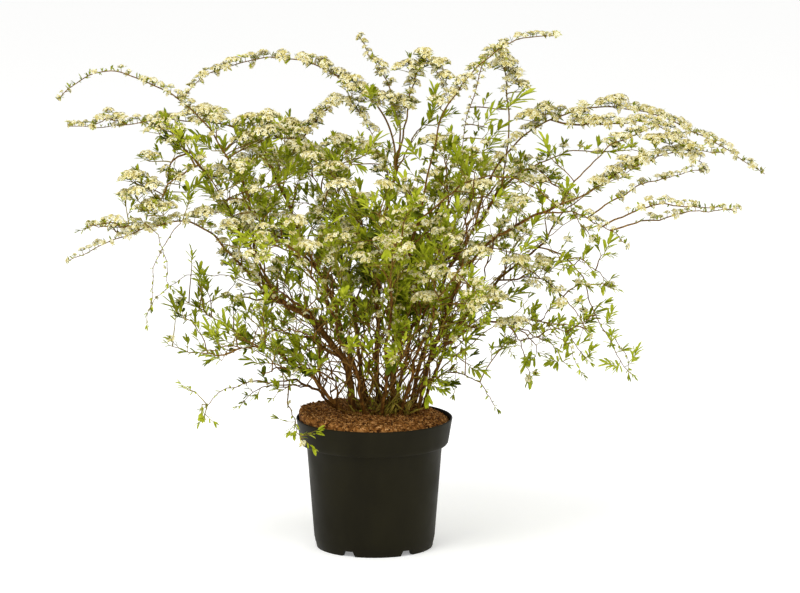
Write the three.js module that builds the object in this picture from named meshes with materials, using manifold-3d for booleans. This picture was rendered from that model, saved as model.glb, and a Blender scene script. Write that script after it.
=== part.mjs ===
// A spirea shrub in a round nursery pot, in millimetres, +Z up, origin under the middle of the pot.
// Woody canes rise from the crown in the middle of the filled pot. Each cane ends where it enters
// its sprays: arching stems with side twigs, narrow leaves and flat heads of small white flowers.
// Every cane and every spray is grown by the same rules from the sizes listed below.
import * as THREE from "three";
import { mergeVertices } from "three/addons/utils/BufferGeometryUtils.js";
import Module from "manifold-3d";

const wasm = await Module();
wasm.setup();
const { Manifold, Mesh } = wasm;

// ---- Driving dimensions -------------------------------------------------------------------------

const GAP = 0.3; // clearance between neighbouring solids

const POT = {
  height: 235,
  rimRadius: 140,
  rimWall: 2.4,
  bandFoot: 196, // the band below the rim starts at this height
  bandRadius: 133.5,
  shoulder: 187, // the body ends and turns out to the band at this height
  shoulderRadius: 121.5,
  chamfer: 20, // height of the drawn-in foot
  chamferRadius: 108.5,
  footRadius: 104.5,
  footWall: 9,
  wall: 2.1,
  floorHeight: 10, // underside of the floor, above the ground
  floorThickness: 2.4,
  padRadius: 22, // the middle of the floor reaches down to the ground
  segments: 32,
};
const NOTCH = { count: 6, firstTurn: -26, width: 26, topWidth: 18, height: 9.5 };

const SOIL = {
  level: 244, // flat top around the canes
  levelRadius: 100,
  edgeHeight: 238,
  edgeTilt: 10.5, // the edge is this much higher at -X and lower at +X
  clearance: 0.5,
};

const LEAF = { length: 50, width: 15, thickness: 3, widest: 0.4 }; // one stands for a few real ones
const HEAD = { radius: 13, stretch: 1.5, depth: 13, sides: 5 }; // a flat-topped cluster of flowers
const TWIG = { radius: 1.7, tipRadius: 1.5, shortest: 10 };
const ROOT_DEPTH = 0.7; // leaves and heads start this far behind the middle of their twig
const STEM = { sides: 3, tipRadius: 1.2, rootRadius: 1.3, growth: 1 / 320 };
const CANE_SIDES = 5;
const STEP = 50; // length of the straight pieces of a cane or stem
const ROOT_FLARE = { growth: 0.7, length: 14 }; // a cane's foot widens by this share, over this length
const BOW = 0.42; // how far a limb keeps to the pitch of each end, as a share of its reach
const GOLDEN_TURN = 137.5;

// How a stem is dressed: spacing and length of its side twigs, the bare share at its root, how far
// the twigs lean forward and up, the share that end in a flower head, and the leaves along a twig.
const HABIT = {
  garland: { spacing: 60, twig: 6, bare: 0.06, forward: 0.2, up: 1.2, bloom: 0.95, leaves: 0 },
  mixed: { spacing: 108, twig: 46, bare: 0.1, forward: 0.8, up: 0.7, bloom: 0.7, leaves: 1 },
  leafy: { spacing: 80, twig: 64, bare: 0.1, forward: 0.9, up: 0.5, bloom: 0.15, leaves: 2 },
  string: { spacing: 54, twig: 6, bare: 0.4, forward: 0.9, up: 0.2, bloom: 0.3, leaves: 0 },
};

// Woody canes. A foot is [across, back] on the crown, or a cane leaves another at a share of its
// length. tip is [across, back, up] from its start, pitch is degrees above level at its start and
// end, and radius is at its start and end.
const CANES = {
  left_main: { foot: [-40, 0], tip: [-160, -60, 231], pitch: [88, 33], radius: [6.8, 4.2] },
  left_riser: { from: ["left_main", 0.97], tip: [-25, 40, 148], pitch: [60, 92], radius: [3.6, 2.8] },
  left_back: { foot: [-15, 32], tip: [-162, 110, 412], pitch: [76, 64], radius: [4.6, 2.8] },
  left_low: { foot: [-50, -24], tip: [-150, -70, 138], pitch: [48, 26], radius: [4.8, 2.6] },
  left_lowest: { foot: [-66, 22], tip: [-92, -30, 60], pitch: [45, 0], radius: [3.2, 2.1] },
  centre_tall: { foot: [6, 20], tip: [34, 60, 442], pitch: [92, 60], radius: [5, 3] },
  centre_right: { foot: [32, 2], tip: [57, -40, 368], pitch: [84, 68], radius: [4.8, 3] },
  right_main: { foot: [64, 18], tip: [165, 50, 395], pitch: [77, 50], radius: [5.4, 3] },
  right_long: { foot: [78, -10], tip: [250, -80, 392], pitch: [78, 20], radius: [5, 2.8] },
  right_mid: { foot: [88, 30], tip: [213, -20, 308], pitch: [78, 42], radius: [4.4, 2.6] },
  right_low: { foot: [72, 50], tip: [162, 20, 156], pitch: [83, 8], radius: [4.2, 2.4] },
  front_left: { foot: [-16, -28], tip: [-82, -125, 246], pitch: [64, 52], radius: [4, 2.4] },
  front_mid: { foot: [14, -34], tip: [16, -140, 250], pitch: [64, 56], radius: [4, 2.4] },
  front_right: { foot: [46, -30], tip: [66, -121, 224], pitch: [64, 52], radius: [4, 2.4] },
  back_left: { foot: [-12, 62], tip: [-66, 124, 330], pitch: [70, 58], radius: [4.2, 2.4] },
  back_right: { foot: [38, 62], tip: [69, 136, 308], pitch: [66, 58], radius: [4.2, 2.4] },
};

// Sprays. Each stem leaves a cane at a share of its length; its forks leave the stem the same way.
const SPRAYS = {
  far_left_arch: {
    from: ["left_riser", 1],
    tip: [-332, -100, 204],
    pitch: [76, -49],
    habit: "garland",
  },
  left_band: {
    from: ["left_back", 1],
    tip: [-376, 40, 76],
    pitch: [66, 0],
    habit: "garland",
    forks: [{ at: 0.74, tip: [-62, -30, 1], pitch: [38, -32] }],
  },
  left_hoop: {
    from: ["left_back", 0.96],
    tip: [192, -72, 34],
    pitch: [62, -74],
    bow: [0.95, 0.9],
    habit: "garland",
  },
  low_left_arch: {
    from: ["left_main", 1],
    tip: [-340, -110, 71],
    pitch: [53, -19],
    bow: [0.64, 0.6],
    habit: "garland",
    forks: [
      { at: 0.66, tip: [-92, -50, 9], pitch: [10, -20] },
      { at: 0.7, tip: [-78, 50, 5], pitch: [5, -22] },
    ],
  },
  left_spear: {
    from: ["left_main", 0.88],
    tip: [-182, -60, 312],
    pitch: [58, 52],
    habit: "mixed",
    forks: [
      { at: 0.78, tip: [-92, -60, -80], pitch: [0, -45] },
      { at: 0.86, tip: [-56, 20, -129], pitch: [-5, -70] },
    ],
  },
  left_bare: {
    from: ["left_main", 0.81],
    tip: [-186, 40, -27],
    pitch: [16, -34],
    bow: [0.6, 0.36],
    habit: "string",
  },
  left_shelf: {
    from: ["left_low", 1],
    tip: [-134, 60, 69],
    pitch: [24, 14],
    habit: "leafy",
  },
  left_strings: {
    from: ["left_low", 0.94],
    tip: [-108, -80, 6],
    pitch: [4, -12],
    habit: "leafy",
    forks: [{ at: 0.4, tip: [-122, 30, -2], pitch: [-24, 10] }],
  },
  lowest_arch: {
    from: ["left_lowest", 1],
    tip: [-137, -90, -25],
    pitch: [4, -38],
    habit: "string",
  },
  rim_sprig: {
    from: ["left_lowest", 0.94],
    tip: [28, -112, -92],
    pitch: [-100, -28],
    bow: [0.4, 0.6],
    habit: "string",
  },
  top_spire: {
    from: ["centre_tall", 1],
    tip: [-71, 30, 221],
    pitch: [98, 56],
    habit: "garland",
  },
  top_crown: {
    from: ["centre_tall", 0.97],
    tip: [98, -70, 127],
    pitch: [76, -62],
    bow: [1, 1],
    habit: "garland",
  },
  top_left_arch: {
    from: ["centre_tall", 0.93],
    tip: [-378, 90, 126],
    pitch: [98, -56],
    bow: [0.5, 0.44],
    habit: "garland",
  },
  top_right_tuft: {
    from: ["centre_tall", 0.9],
    tip: [96, 50, 120],
    pitch: [66, 10],
    habit: "leafy",
  },
  upper_right_arch: {
    from: ["centre_right", 1],
    tip: [234, -100, 327],
    pitch: [84, 6],
    habit: "garland",
  },
  right_hairpin: {
    from: ["right_main", 1],
    tip: [-70, -76, 74],
    pitch: [100, -82],
    bow: [2.6, 1.8],
    habit: "mixed",
  },
  right_long_arch: {
    from: ["right_main", 0.8],
    tip: [528, 130, 78],
    pitch: [79, -38],
    bow: [0.52, 0.52],
    habit: "garland",
    forks: [{ at: 0.36, tip: [226, -110, -13], pitch: [-12, -26] }],
  },
  dark_arch: {
    from: ["centre_right", 0.95],
    tip: [243, -110, 43],
    pitch: [42, -36],
    bow: [0.56, 0.5],
    habit: "string",
  },
  right_fork_up: {
    from: ["right_long", 1],
    tip: [174, -60, 147],
    pitch: [56, 18],
    habit: "garland",
  },
  right_heavy: {
    from: ["right_long", 0.96],
    tip: [310, 80, 91],
    pitch: [22, -12],
    habit: "garland",
    forks: [{ at: 0.72, tip: [52, -30, -30], pitch: [-20, -52] }],
  },
  right_outrunner: {
    from: ["right_long", 0.92],
    tip: [148, -70, -49],
    pitch: [8, -40],
    habit: "garland",
    forks: [
      { at: 0.5, tip: [206, 50, 76], pitch: [34, 4] },
      { at: 0.68, tip: [226, -70, 40], pitch: [36, -4] },
      { at: 0.76, tip: [228, -10, 35], pitch: [10, 0] },
    ],
  },
  right_mid_spray: {
    from: ["right_mid", 1],
    tip: [169, 110, 116],
    pitch: [58, 22],
    habit: "mixed",
  },
  right_droop: {
    from: ["right_mid", 0.96],
    tip: [165, -80, -210],
    pitch: [0, -44],
    bow: [0.42, 0.52],
    habit: "leafy",
    forks: [{ at: 0.2, tip: [76, 30, -47], pitch: [4, -34] }],
  },
  right_curtain: {
    from: ["right_mid", 0.72],
    tip: [160, -130, -79],
    pitch: [6, -46],
    bow: [0.56, 0.7],
    habit: "leafy",
  },
  right_strings: {
    from: ["right_low", 1],
    tip: [48, 60, -118],
    pitch: [-36, -70],
    habit: "leafy",
    forks: [
      { at: 0.1, tip: [142, -60, -52], pitch: [24, -58] },
      { at: 0.14, tip: [100, 70, -85], pitch: [-30, -56] },
    ],
  },
  right_lowest: {
    from: ["right_long", 0.09],
    tip: [128, -60, -16],
    pitch: [50, -62],
    bow: [0.5, 0.5],
    habit: "string",
  },
  right_shelf: {
    from: ["right_main", 0.95],
    tip: [266, 80, 68],
    pitch: [44, -7],
    habit: "mixed",
    forks: [{ at: 0.3, tip: [100, -110, -116], pitch: [-16, -50] }],
  },
  front_left_spray: {
    from: ["front_left", 1],
    tip: [-102, -226, 90],
    pitch: [50, -22],
    habit: "mixed",
  },
  front_left_tuft: {
    from: ["front_left", 0.9],
    tip: [-50, -110, -30],
    pitch: [28, -40],
    habit: "leafy",
  },
  front_mid_spray: {
    from: ["front_mid", 1],
    tip: [24, -246, 92],
    pitch: [52, -20],
    habit: "mixed",
  },
  front_mid_tuft: {
    from: ["front_mid", 0.9],
    tip: [-24, -70, 176],
    pitch: [80, 60],
    habit: "leafy",
  },
  front_right_spray: {
    from: ["front_right", 1],
    tip: [80, -208, 14],
    pitch: [44, -42],
    habit: "mixed",
  },
  front_right_tuft: {
    from: ["front_right", 0.9],
    tip: [10, -160, 140],
    pitch: [64, 22],
    habit: "leafy",
  },
  back_left_spray: {
    from: ["back_left", 1],
    tip: [-134, 216, 34],
    pitch: [46, -40],
    habit: "mixed",
  },
  back_left_top: {
    from: ["back_left", 0.95],
    tip: [22, 234, 96],
    pitch: [62, -14],
    habit: "mixed",
  },
  back_right_spray: {
    from: ["back_right", 1],
    tip: [70, 232, 78],
    pitch: [56, -18],
    habit: "mixed",
  },
  back_right_low: {
    from: ["back_right", 0.95],
    tip: [164, 186, 14],
    pitch: [42, -36],
    habit: "mixed",
  },
  left_back_tuft: {
    from: ["left_back", 0.56],
    tip: [-120, 60, 90],
    pitch: [40, 10],
    habit: "leafy",
  },
  left_main_tuft: {
    from: ["left_main", 0.74],
    tip: [-96, -70, 70],
    pitch: [60, 14],
    habit: "leafy",
  },
  centre_tuft: {
    from: ["centre_tall", 0.6],
    tip: [-76, -50, 180],
    pitch: [62, 70],
    habit: "leafy",
  },
  centre_right_tuft: {
    from: ["centre_right", 0.6],
    tip: [-34, -70, 150],
    pitch: [70, 60],
    habit: "leafy",
  },
  right_main_tuft: {
    from: ["right_main", 0.56],
    tip: [-76, 80, 150],
    pitch: [62, 50],
    habit: "leafy",
  },
};

const COLOURS = {
  pot: 0x262320,
  soil: 0x7a4a2a,
  bark: 0x6b4226,
  garland: 0xe6e2bf,
  mixed: 0xb9c477,
  leafy: 0x86a832,
  string: 0x8b9a4a,
};

// ---- Limbs --------------------------------------------------------------------------------------

/** Seeded draws between 0 and 1. */
function draws(seed) {
  let state = seed;
  return () => {
    state = (state * 48271) % 2147483647;
    return state / 2147483647;
  };
}

/** The path of a limb: it sets off at one pitch and arrives at another, on the heading of its tip. */
function arch(start, size) {
  const reach = new THREE.Vector3(...size.tip);
  const end = start.clone().add(reach);
  const heading = new THREE.Vector3(reach.x, reach.y, 0).normalize();
  const bow = size.bow ?? [BOW, BOW];
  const handles = size.pitch.map((pitch, index) => {
    const angle = THREE.MathUtils.degToRad(pitch);
    const handle = heading.clone().multiplyScalar(Math.cos(angle));
    handle.z = Math.sin(angle);
    return handle.multiplyScalar(reach.length() * bow[index]);
  });
  const first = start.clone().add(handles[0]);
  const second = end.clone().sub(handles[1]);
  return new THREE.CubicBezierCurve3(start, first, second, end);
}

/** How thick a limb is at a share of its length. */
function radiusAt(limb, share) {
  const flare = limb.flare * Math.exp((-share * limb.length) / ROOT_FLARE.length);
  return THREE.MathUtils.lerp(limb.radius[0], limb.radius[1], share) * (1 + flare);
}

/** A tapering limb round a path, in straight pieces between points of the path. */
function makeLimb(path, radius, sides, flare = 0) {
  const length = path.getLength();
  const pieces = path.isLineCurve3 ? 1 : Math.max(3, Math.round(length / STEP));
  return { path, radius, sides, flare, length, pieces, points: path.getSpacedPoints(pieces) };
}

/** The middle of a limb and its heading there, at a share of its length. */
function placeOn(limb, share) {
  const place = Math.min(share * limb.pieces, limb.pieces - 1e-6);
  const piece = Math.floor(place);
  const [from, to] = [limb.points[piece], limb.points[piece + 1]];
  return { point: from.clone().lerp(to, place - piece), along: to.clone().sub(from).normalize() };
}

/** The geometry of a limb, grown by a margin on every side when it serves as a cutter. */
function limbGeometry(limb, margin = 0) {
  const { path, sides, pieces } = limb;
  const frames = path.computeFrenetFrames(pieces, false);
  const geometry = new THREE.CylinderGeometry(1, 1, 1, sides, pieces);
  const place = geometry.getAttribute("position");
  const cornerMargin = margin / Math.cos(Math.PI / sides);
  for (let index = 0; index < place.count; index += 1) {
    const share = place.getY(index) + 0.5;
    const ring = Math.round(share * pieces);
    const radius = radiusAt(limb, share) + cornerMargin;
    const point = limb.points[ring].clone();
    point.addScaledVector(frames.binormals[ring], place.getX(index) * radius);
    point.addScaledVector(frames.normals[ring], place.getZ(index) * radius);
    if (ring === 0) {
      point.addScaledVector(frames.tangents[ring], -margin);
    }
    if (ring === pieces) {
      point.addScaledVector(frames.tangents[ring], margin);
    }
    place.setXYZ(index, point.x, point.y, point.z);
  }
  return geometry;
}

// ---- Solids -------------------------------------------------------------------------------------

/** A closed solid from a geometry whose faces look outward. */
function toSolid(geometry) {
  const plain = new THREE.BufferGeometry();
  plain.setAttribute("position", geometry.getAttribute("position"));
  plain.setIndex(geometry.getIndex());
  const merged = mergeVertices(plain, 1e-4);
  const corners = merged.getIndex().array;
  const faces = [];
  for (let index = 0; index < corners.length; index += 3) {
    const [a, b, c] = [corners[index], corners[index + 1], corners[index + 2]];
    if (a !== b && b !== c && c !== a) {
      faces.push(a, b, c);
    }
  }
  const mesh = new Mesh({
    numProp: 3,
    vertProperties: new Float32Array(merged.getAttribute("position").array),
    triVerts: new Uint32Array(faces),
  });
  mesh.merge();
  return new Manifold(mesh);
}

/** The largest separate piece of a solid. */
function largestPiece(solid) {
  const pieces = solid.decompose();
  return pieces.reduce((best, piece) => (piece.volume() > best.volume() ? piece : best));
}

/** A named mesh of a solid. */
function toMesh(name, solid, colour) {
  const { vertProperties, triVerts } = solid.getMesh();
  const geometry = new THREE.BufferGeometry();
  geometry.setAttribute("position", new THREE.BufferAttribute(new Float32Array(vertProperties), 3));
  geometry.setIndex(new THREE.BufferAttribute(new Uint32Array(triVerts), 1));
  geometry.computeVertexNormals();
  const mesh = new THREE.Mesh(geometry, new THREE.MeshStandardMaterial({ color: colour }));
  mesh.name = name;
  return mesh;
}

/** A solid turned from a closed profile of [radius, height] pairs, bottom first and outside first. */
function turned(profile, segments) {
  const points = profile.map(([radius, height]) => new THREE.Vector2(radius, height));
  const geometry = new THREE.LatheGeometry(points, segments);
  geometry.rotateX(Math.PI / 2);
  return geometry;
}

// ---- Pot and soil -------------------------------------------------------------------------------

/** Inner radii and heights of the pot's wall, from the floor up. */
function potInside() {
  const floorTop = POT.floorHeight + POT.floorThickness;
  return [
    [POT.footRadius - POT.wall, floorTop],
    [POT.chamferRadius - POT.wall, POT.chamfer + POT.wall],
    [POT.shoulderRadius - POT.wall, POT.shoulder + POT.wall],
    [POT.bandRadius - POT.wall, POT.bandFoot],
  ];
}

/** The pot: a turned wall and floor, with notches through its foot. */
function makePot() {
  const inside = potInside();
  const foot = POT.footRadius - POT.footWall;
  const profile = [
    [0, 0],
    [POT.padRadius, 0],
    [POT.padRadius, POT.floorHeight],
    [foot, POT.floorHeight],
    [foot, 0],
    [POT.footRadius, 0],
    [POT.chamferRadius, POT.chamfer],
    [POT.shoulderRadius, POT.shoulder],
    [POT.bandRadius - POT.wall, POT.shoulder + POT.wall],
    [POT.bandRadius, POT.bandFoot],
    [POT.rimRadius, POT.height],
    [POT.rimRadius - POT.rimWall, POT.height],
    ...inside.toReversed(),
    [0, inside[0][1]],
  ];
  let pot = toSolid(turned(profile, POT.segments));
  const outline = new THREE.Shape();
  outline.moveTo(-NOTCH.width / 2, -1);
  outline.lineTo(NOTCH.width / 2, -1);
  outline.lineTo(NOTCH.topWidth / 2, NOTCH.height);
  outline.lineTo(-NOTCH.topWidth / 2, NOTCH.height);
  for (let index = 0; index < NOTCH.count; index += 1) {
    const notch = new THREE.ExtrudeGeometry(outline, { depth: 3 * POT.footWall, bevelEnabled: false });
    notch.rotateX(Math.PI / 2);
    notch.translate(0, -POT.footRadius + 2 * POT.footWall, 0);
    notch.rotateZ(THREE.MathUtils.degToRad(NOTCH.firstTurn + (index * 360) / NOTCH.count));
    pot = pot.subtract(toSolid(notch));
  }
  return pot;
}

/** The filling: it follows the pot's inside and is flat around the canes, with a tilted edge. */
function makeSoil() {
  const clearance = SOIL.clearance;
  const inside = potInside();
  const bandFoot = inside[inside.length - 1];
  const wall = inside.map(([radius, height]) => [radius - clearance, height + clearance]);
  const edgeRadius = bandFoot[0] + 4;
  const profile = [
    [0, wall[0][1]],
    ...wall,
    [edgeRadius, SOIL.edgeHeight],
    [edgeRadius - 14, SOIL.edgeHeight + 3],
    [SOIL.levelRadius, SOIL.level],
    [0, SOIL.level],
  ];
  const geometry = turned(profile, POT.segments);
  const place = geometry.getAttribute("position");
  for (let index = 0; index < place.count; index += 1) {
    const radius = Math.hypot(place.getX(index), place.getY(index));
    if (radius > SOIL.levelRadius + 1 && place.getZ(index) > POT.bandFoot + 10) {
      const tilt = (SOIL.edgeTilt * place.getX(index)) / edgeRadius;
      place.setZ(index, place.getZ(index) - tilt);
    }
  }
  return toSolid(geometry);
}

// ---- Canes --------------------------------------------------------------------------------------

/** Every cane as a limb, by name; a cane may leave one that is listed before it. */
function growCanes() {
  const limbs = new Map();
  for (const [name, size] of Object.entries(CANES)) {
    const onCrown = size.foot !== undefined;
    const start = onCrown
      ? new THREE.Vector3(size.foot[0], size.foot[1], SOIL.level)
      : placeOn(limbs.get(size.from[0]), size.from[1]).point;
    const path = arch(start, size);
    limbs.set(name, makeLimb(path, size.radius, CANE_SIDES, onCrown ? ROOT_FLARE.growth : 0));
  }
  return limbs;
}

/** A cane's solid: cut flat where it stands on the soil, or cut clear of the cane it leaves. */
function makeCane(limb, size, limbs) {
  const solid = toSolid(limbGeometry(limb));
  if (size.foot === undefined) {
    const parent = toSolid(limbGeometry(limbs.get(size.from[0]), GAP));
    return largestPiece(solid.subtract(parent));
  }
  return solid.trimByPlane([0, 0, 1], SOIL.level + GAP);
}

// ---- Sprays -------------------------------------------------------------------------------------

/** The stems of a spray: its main stem, then its forks. */
function growStems(size, parent) {
  const thickest = radiusAt(parent, size.from[1]) * 0.8;
  const grow = (start, stemSize) => {
    const path = arch(start, stemSize);
    const root = STEM.rootRadius + path.getLength() * STEM.growth;
    return makeLimb(path, [Math.min(root, thickest), STEM.tipRadius], STEM.sides);
  };
  const main = grow(placeOn(parent, size.from[1]).point, size);
  const forks = (size.forks ?? []).map((fork) => grow(placeOn(main, fork.at).point, fork));
  return [main, ...forks];
}

/** The side twigs of a stem: each has a base on the stem, a direction, a length and its dressing. */
function sideTwigs(stem, habit, draw) {
  const twigs = [];
  let distance = stem.length * habit.bare + 0.4 * habit.spacing * draw();
  let turn = 360 * draw();
  while (distance < stem.length) {
    const share = distance / stem.length;
    const { point, along } = placeOn(stem, share);
    const side = new THREE.Vector3(-along.y, along.x, 0).normalize();
    const over = new THREE.Vector3().crossVectors(along, side).negate();
    const angle = THREE.MathUtils.degToRad(turn);
    const direction = side.multiplyScalar(Math.cos(angle)).addScaledVector(over, Math.sin(angle));
    direction.addScaledVector(along, habit.forward);
    direction.z += habit.up;
    direction.normalize();
    twigs.push({
      base: point,
      along,
      direction,
      length: habit.twig * (0.6 + 0.8 * draw()) * (1 - 0.4 * share),
      blooms: draw() < habit.bloom,
      leaves: habit.leaves,
    });
    distance += habit.spacing * (0.7 + 0.6 * draw());
    turn += GOLDEN_TURN + 30 * draw();
  }
  const blooms = habit.bloom > 0.4;
  const end = placeOn(stem, 1 - (blooms ? HEAD.radius : 2) / stem.length);
  twigs.push({ base: end.point, along: end.along, direction: end.along, length: 0, blooms, leaves: 0 });
  return twigs;
}

/** A narrow leaf of six faces: pointed at both ends and widest before its middle. */
function leafShape(root, direction, length) {
  const geometry = new THREE.SphereGeometry(1, 3, 2);
  const place = geometry.getAttribute("position");
  for (let index = 0; index < place.count; index += 1) {
    const ring = Math.round(place.getY(index) + 1);
    const x = (place.getX(index) * LEAF.width) / 2;
    const z = (place.getZ(index) * LEAF.thickness) / 2;
    place.setXYZ(index, x, [0, LEAF.widest, 1][ring] * length - ROOT_DEPTH, z);
  }
  const across = new THREE.Vector3(-direction.y, direction.x, 0).normalize();
  const over = new THREE.Vector3().crossVectors(across, direction);
  geometry.applyMatrix4(new THREE.Matrix4().makeBasis(across, direction, over));
  geometry.translate(root.x, root.y, root.z);
  const tip = root.clone().addScaledVector(direction, length);
  return { geometry, from: root, to: tip, reach: LEAF.width / 2 };
}

/** A flat-topped head of flowers that opens from a point in its stem, and is longer along it. */
function headShape(root, direction, along, scale) {
  const facing = direction.clone();
  facing.z += 1;
  facing.normalize();
  const across = new THREE.Vector3().crossVectors(along, facing).normalize();
  const lengthwise = new THREE.Vector3().crossVectors(facing, across);
  const geometry = new THREE.ConeGeometry(HEAD.radius * scale, HEAD.depth * scale, HEAD.sides);
  geometry.rotateX(Math.PI);
  geometry.scale(HEAD.stretch, 1, 1);
  geometry.translate(0, (HEAD.depth * scale) / 2 - ROOT_DEPTH, 0);
  geometry.applyMatrix4(new THREE.Matrix4().makeBasis(lengthwise, facing, across));
  geometry.translate(root.x, root.y, root.z);
  const middle = root.clone().addScaledVector(facing, HEAD.depth * scale * 0.6);
  const half = lengthwise.multiplyScalar(HEAD.radius * scale * (HEAD.stretch - 1));
  const reach = HEAD.radius * scale;
  return { geometry, from: middle.clone().sub(half), to: middle.add(half), reach };
}

/** The shapes of one side twig: the twig with its leaves, and a flower head or a leaf at its end. */
function dressTwig(twig, draw) {
  const shapes = [];
  const end = twig.base.clone().addScaledVector(twig.direction, twig.length);
  const across = new THREE.Vector3(-twig.direction.y, twig.direction.x, 0.2).normalize();
  if (twig.length > TWIG.shortest) {
    const path = new THREE.LineCurve3(twig.base, end);
    const limb = makeLimb(path, [TWIG.radius, TWIG.tipRadius], STEM.sides);
    shapes.push({ geometry: limbGeometry(limb), from: twig.base, to: end, reach: TWIG.radius });
    for (let index = 0; index < twig.leaves; index += 1) {
      const share = (index + 1) / (twig.leaves + 1);
      const root = twig.base.clone().lerp(end, share);
      const lean = index % 2 === 0 ? 0.9 : -0.9;
      const direction = twig.direction.clone().addScaledVector(across, lean).normalize();
      shapes.push(leafShape(root, direction, LEAF.length * (0.7 + 0.4 * draw())));
    }
  }
  const root = shapes.length > 0 ? end.addScaledVector(twig.direction, -2) : twig.base;
  if (twig.blooms) {
    shapes.push(headShape(root, twig.direction, twig.along, 0.85 + 0.3 * draw()));
  } else {
    shapes.push(leafShape(root, twig.direction, LEAF.length * (0.7 + 0.4 * draw())));
  }
  return shapes;
}

/** The shortest distance between the segments a-b and c-d. */
function segmentDistance(a, b, c, d) {
  const first = b.clone().sub(a);
  const second = d.clone().sub(c);
  const between = a.clone().sub(c);
  const [aa, ee] = [first.lengthSq(), second.lengthSq()];
  const [bb, cc, ff] = [first.dot(second), first.dot(between), second.dot(between)];
  const clamp = (value) => THREE.MathUtils.clamp(value, 0, 1);
  const spread = aa * ee - bb * bb;
  let s = spread > 1e-6 ? clamp((bb * ff - cc * ee) / spread) : 0;
  let t = ee > 1e-6 ? clamp((bb * s + ff) / ee) : 0;
  s = aa > 1e-6 ? clamp((bb * t - cc) / aa) : 0;
  t = ee > 1e-6 ? clamp((bb * s + ff) / ee) : 0;
  const here = a.clone().addScaledVector(first, s);
  const there = c.clone().addScaledVector(second, t);
  return here.distanceTo(there);
}

/** The straight pieces of a limb, as claims on the space around it. */
function limbClaims(limb, owner) {
  return limb.points.slice(1).map((point, index) => ({
    owner,
    from: limb.points[index],
    to: point,
    reach: radiusAt(limb, index / limb.pieces),
  }));
}

/** Whether a shape is clear of the pot and of every claim that isn't its own. */
function isClear(shape, owner, claims) {
  for (const end of [shape.from, shape.to]) {
    const outside = Math.hypot(end.x, end.y) > POT.rimRadius + shape.reach + 2;
    if (!outside && end.z < SOIL.level + 8 + shape.reach) {
      return false;
    }
  }
  return claims.every((claim) => {
    if (claim.owner === owner) {
      return true;
    }
    const distance = segmentDistance(shape.from, shape.to, claim.from, claim.to);
    return distance > shape.reach + claim.reach + 2 * GAP;
  });
}

/** A spray's solid: its stems with every twig, leaf and head that has room, cut clear of its cane. */
function makeSpray(name, size, stems, limbs, claims, seed) {
  const draw = draws(seed);
  const habit = HABIT[size.habit];
  const parts = stems.map((stem) => toSolid(limbGeometry(stem)));
  for (const stem of stems) {
    for (const twig of sideTwigs(stem, habit, draw)) {
      const shapes = dressTwig(twig, draw);
      if (shapes.every((shape) => isClear(shape, name, claims))) {
        for (const shape of shapes) {
          parts.push(toSolid(shape.geometry));
          claims.push({ ...shape, owner: name });
        }
      }
    }
  }
  const cane = toSolid(limbGeometry(limbs.get(size.from[0]), GAP));
  return largestPiece(Manifold.union(parts).subtract(cane));
}

// ---- The plant ----------------------------------------------------------------------------------

const plant = new THREE.Group();
plant.name = "spirea_in_pot";
plant.add(toMesh("pot", makePot(), COLOURS.pot));
plant.add(toMesh("soil", makeSoil(), COLOURS.soil));

const limbs = growCanes();
const claims = [];
for (const [name, limb] of limbs) {
  plant.add(toMesh(`cane_${name}`, makeCane(limb, CANES[name], limbs), COLOURS.bark));
  claims.push(...limbClaims(limb, name));
}

const stemsOf = new Map();
for (const [name, size] of Object.entries(SPRAYS)) {
  const stems = growStems(size, limbs.get(size.from[0]));
  stemsOf.set(name, stems);
  for (const stem of stems) {
    claims.push(...limbClaims(stem, name));
  }
}

let seed = 101;
for (const [name, size] of Object.entries(SPRAYS)) {
  const solid = makeSpray(name, size, stemsOf.get(name), limbs, claims, seed);
  plant.add(toMesh(`spray_${name}`, solid, COLOURS[size.habit]));
  seed += 17;
}

export default plant;
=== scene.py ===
"""A flowering spirea shrub in a round nursery pot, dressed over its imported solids.

Metres, +Z up, with the origin under the middle of the pot. Canes, stems and twigs grow by the same
seeded rules as the solids, from the same named sizes in millimetres, and are carried on to fine
twigs, single leaves and single flowers.
"""

import logging
import math
from collections.abc import Callable, Sequence
from dataclasses import dataclass, field
from enum import Enum

import bmesh
import bpy
import numpy as np
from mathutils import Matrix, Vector, noise


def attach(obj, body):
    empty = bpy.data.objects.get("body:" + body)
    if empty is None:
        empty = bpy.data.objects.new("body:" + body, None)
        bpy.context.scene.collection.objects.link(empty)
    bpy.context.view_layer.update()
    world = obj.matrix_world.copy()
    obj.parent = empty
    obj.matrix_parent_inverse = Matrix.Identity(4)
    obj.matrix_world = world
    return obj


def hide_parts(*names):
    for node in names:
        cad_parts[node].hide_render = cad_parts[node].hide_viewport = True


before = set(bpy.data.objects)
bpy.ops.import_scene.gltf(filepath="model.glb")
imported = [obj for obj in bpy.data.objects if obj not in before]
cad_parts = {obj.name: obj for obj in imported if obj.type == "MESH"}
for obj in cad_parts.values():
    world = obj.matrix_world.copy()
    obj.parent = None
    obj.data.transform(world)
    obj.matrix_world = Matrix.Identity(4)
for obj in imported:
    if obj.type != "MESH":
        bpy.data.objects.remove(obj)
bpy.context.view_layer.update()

Array = np.ndarray
Axes = tuple[Array, Array, Array]
Piece = bpy.types.Object
Material = bpy.types.Material
Socket = bpy.types.NodeSocket
Colour = tuple[float, float, float]
Pair = tuple[float, float]
Triple = tuple[float, float, float]

MM = 0.001
UP = np.array([0.0, 0.0, 1.0])
LOG = logging.getLogger("spirea")


# ---- Named options ----


class Habit(Enum):
    """How a stem is dressed along its length."""

    GARLAND = "garland"
    MIXED = "mixed"
    LEAFY = "leafy"
    STRING = "string"


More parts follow.
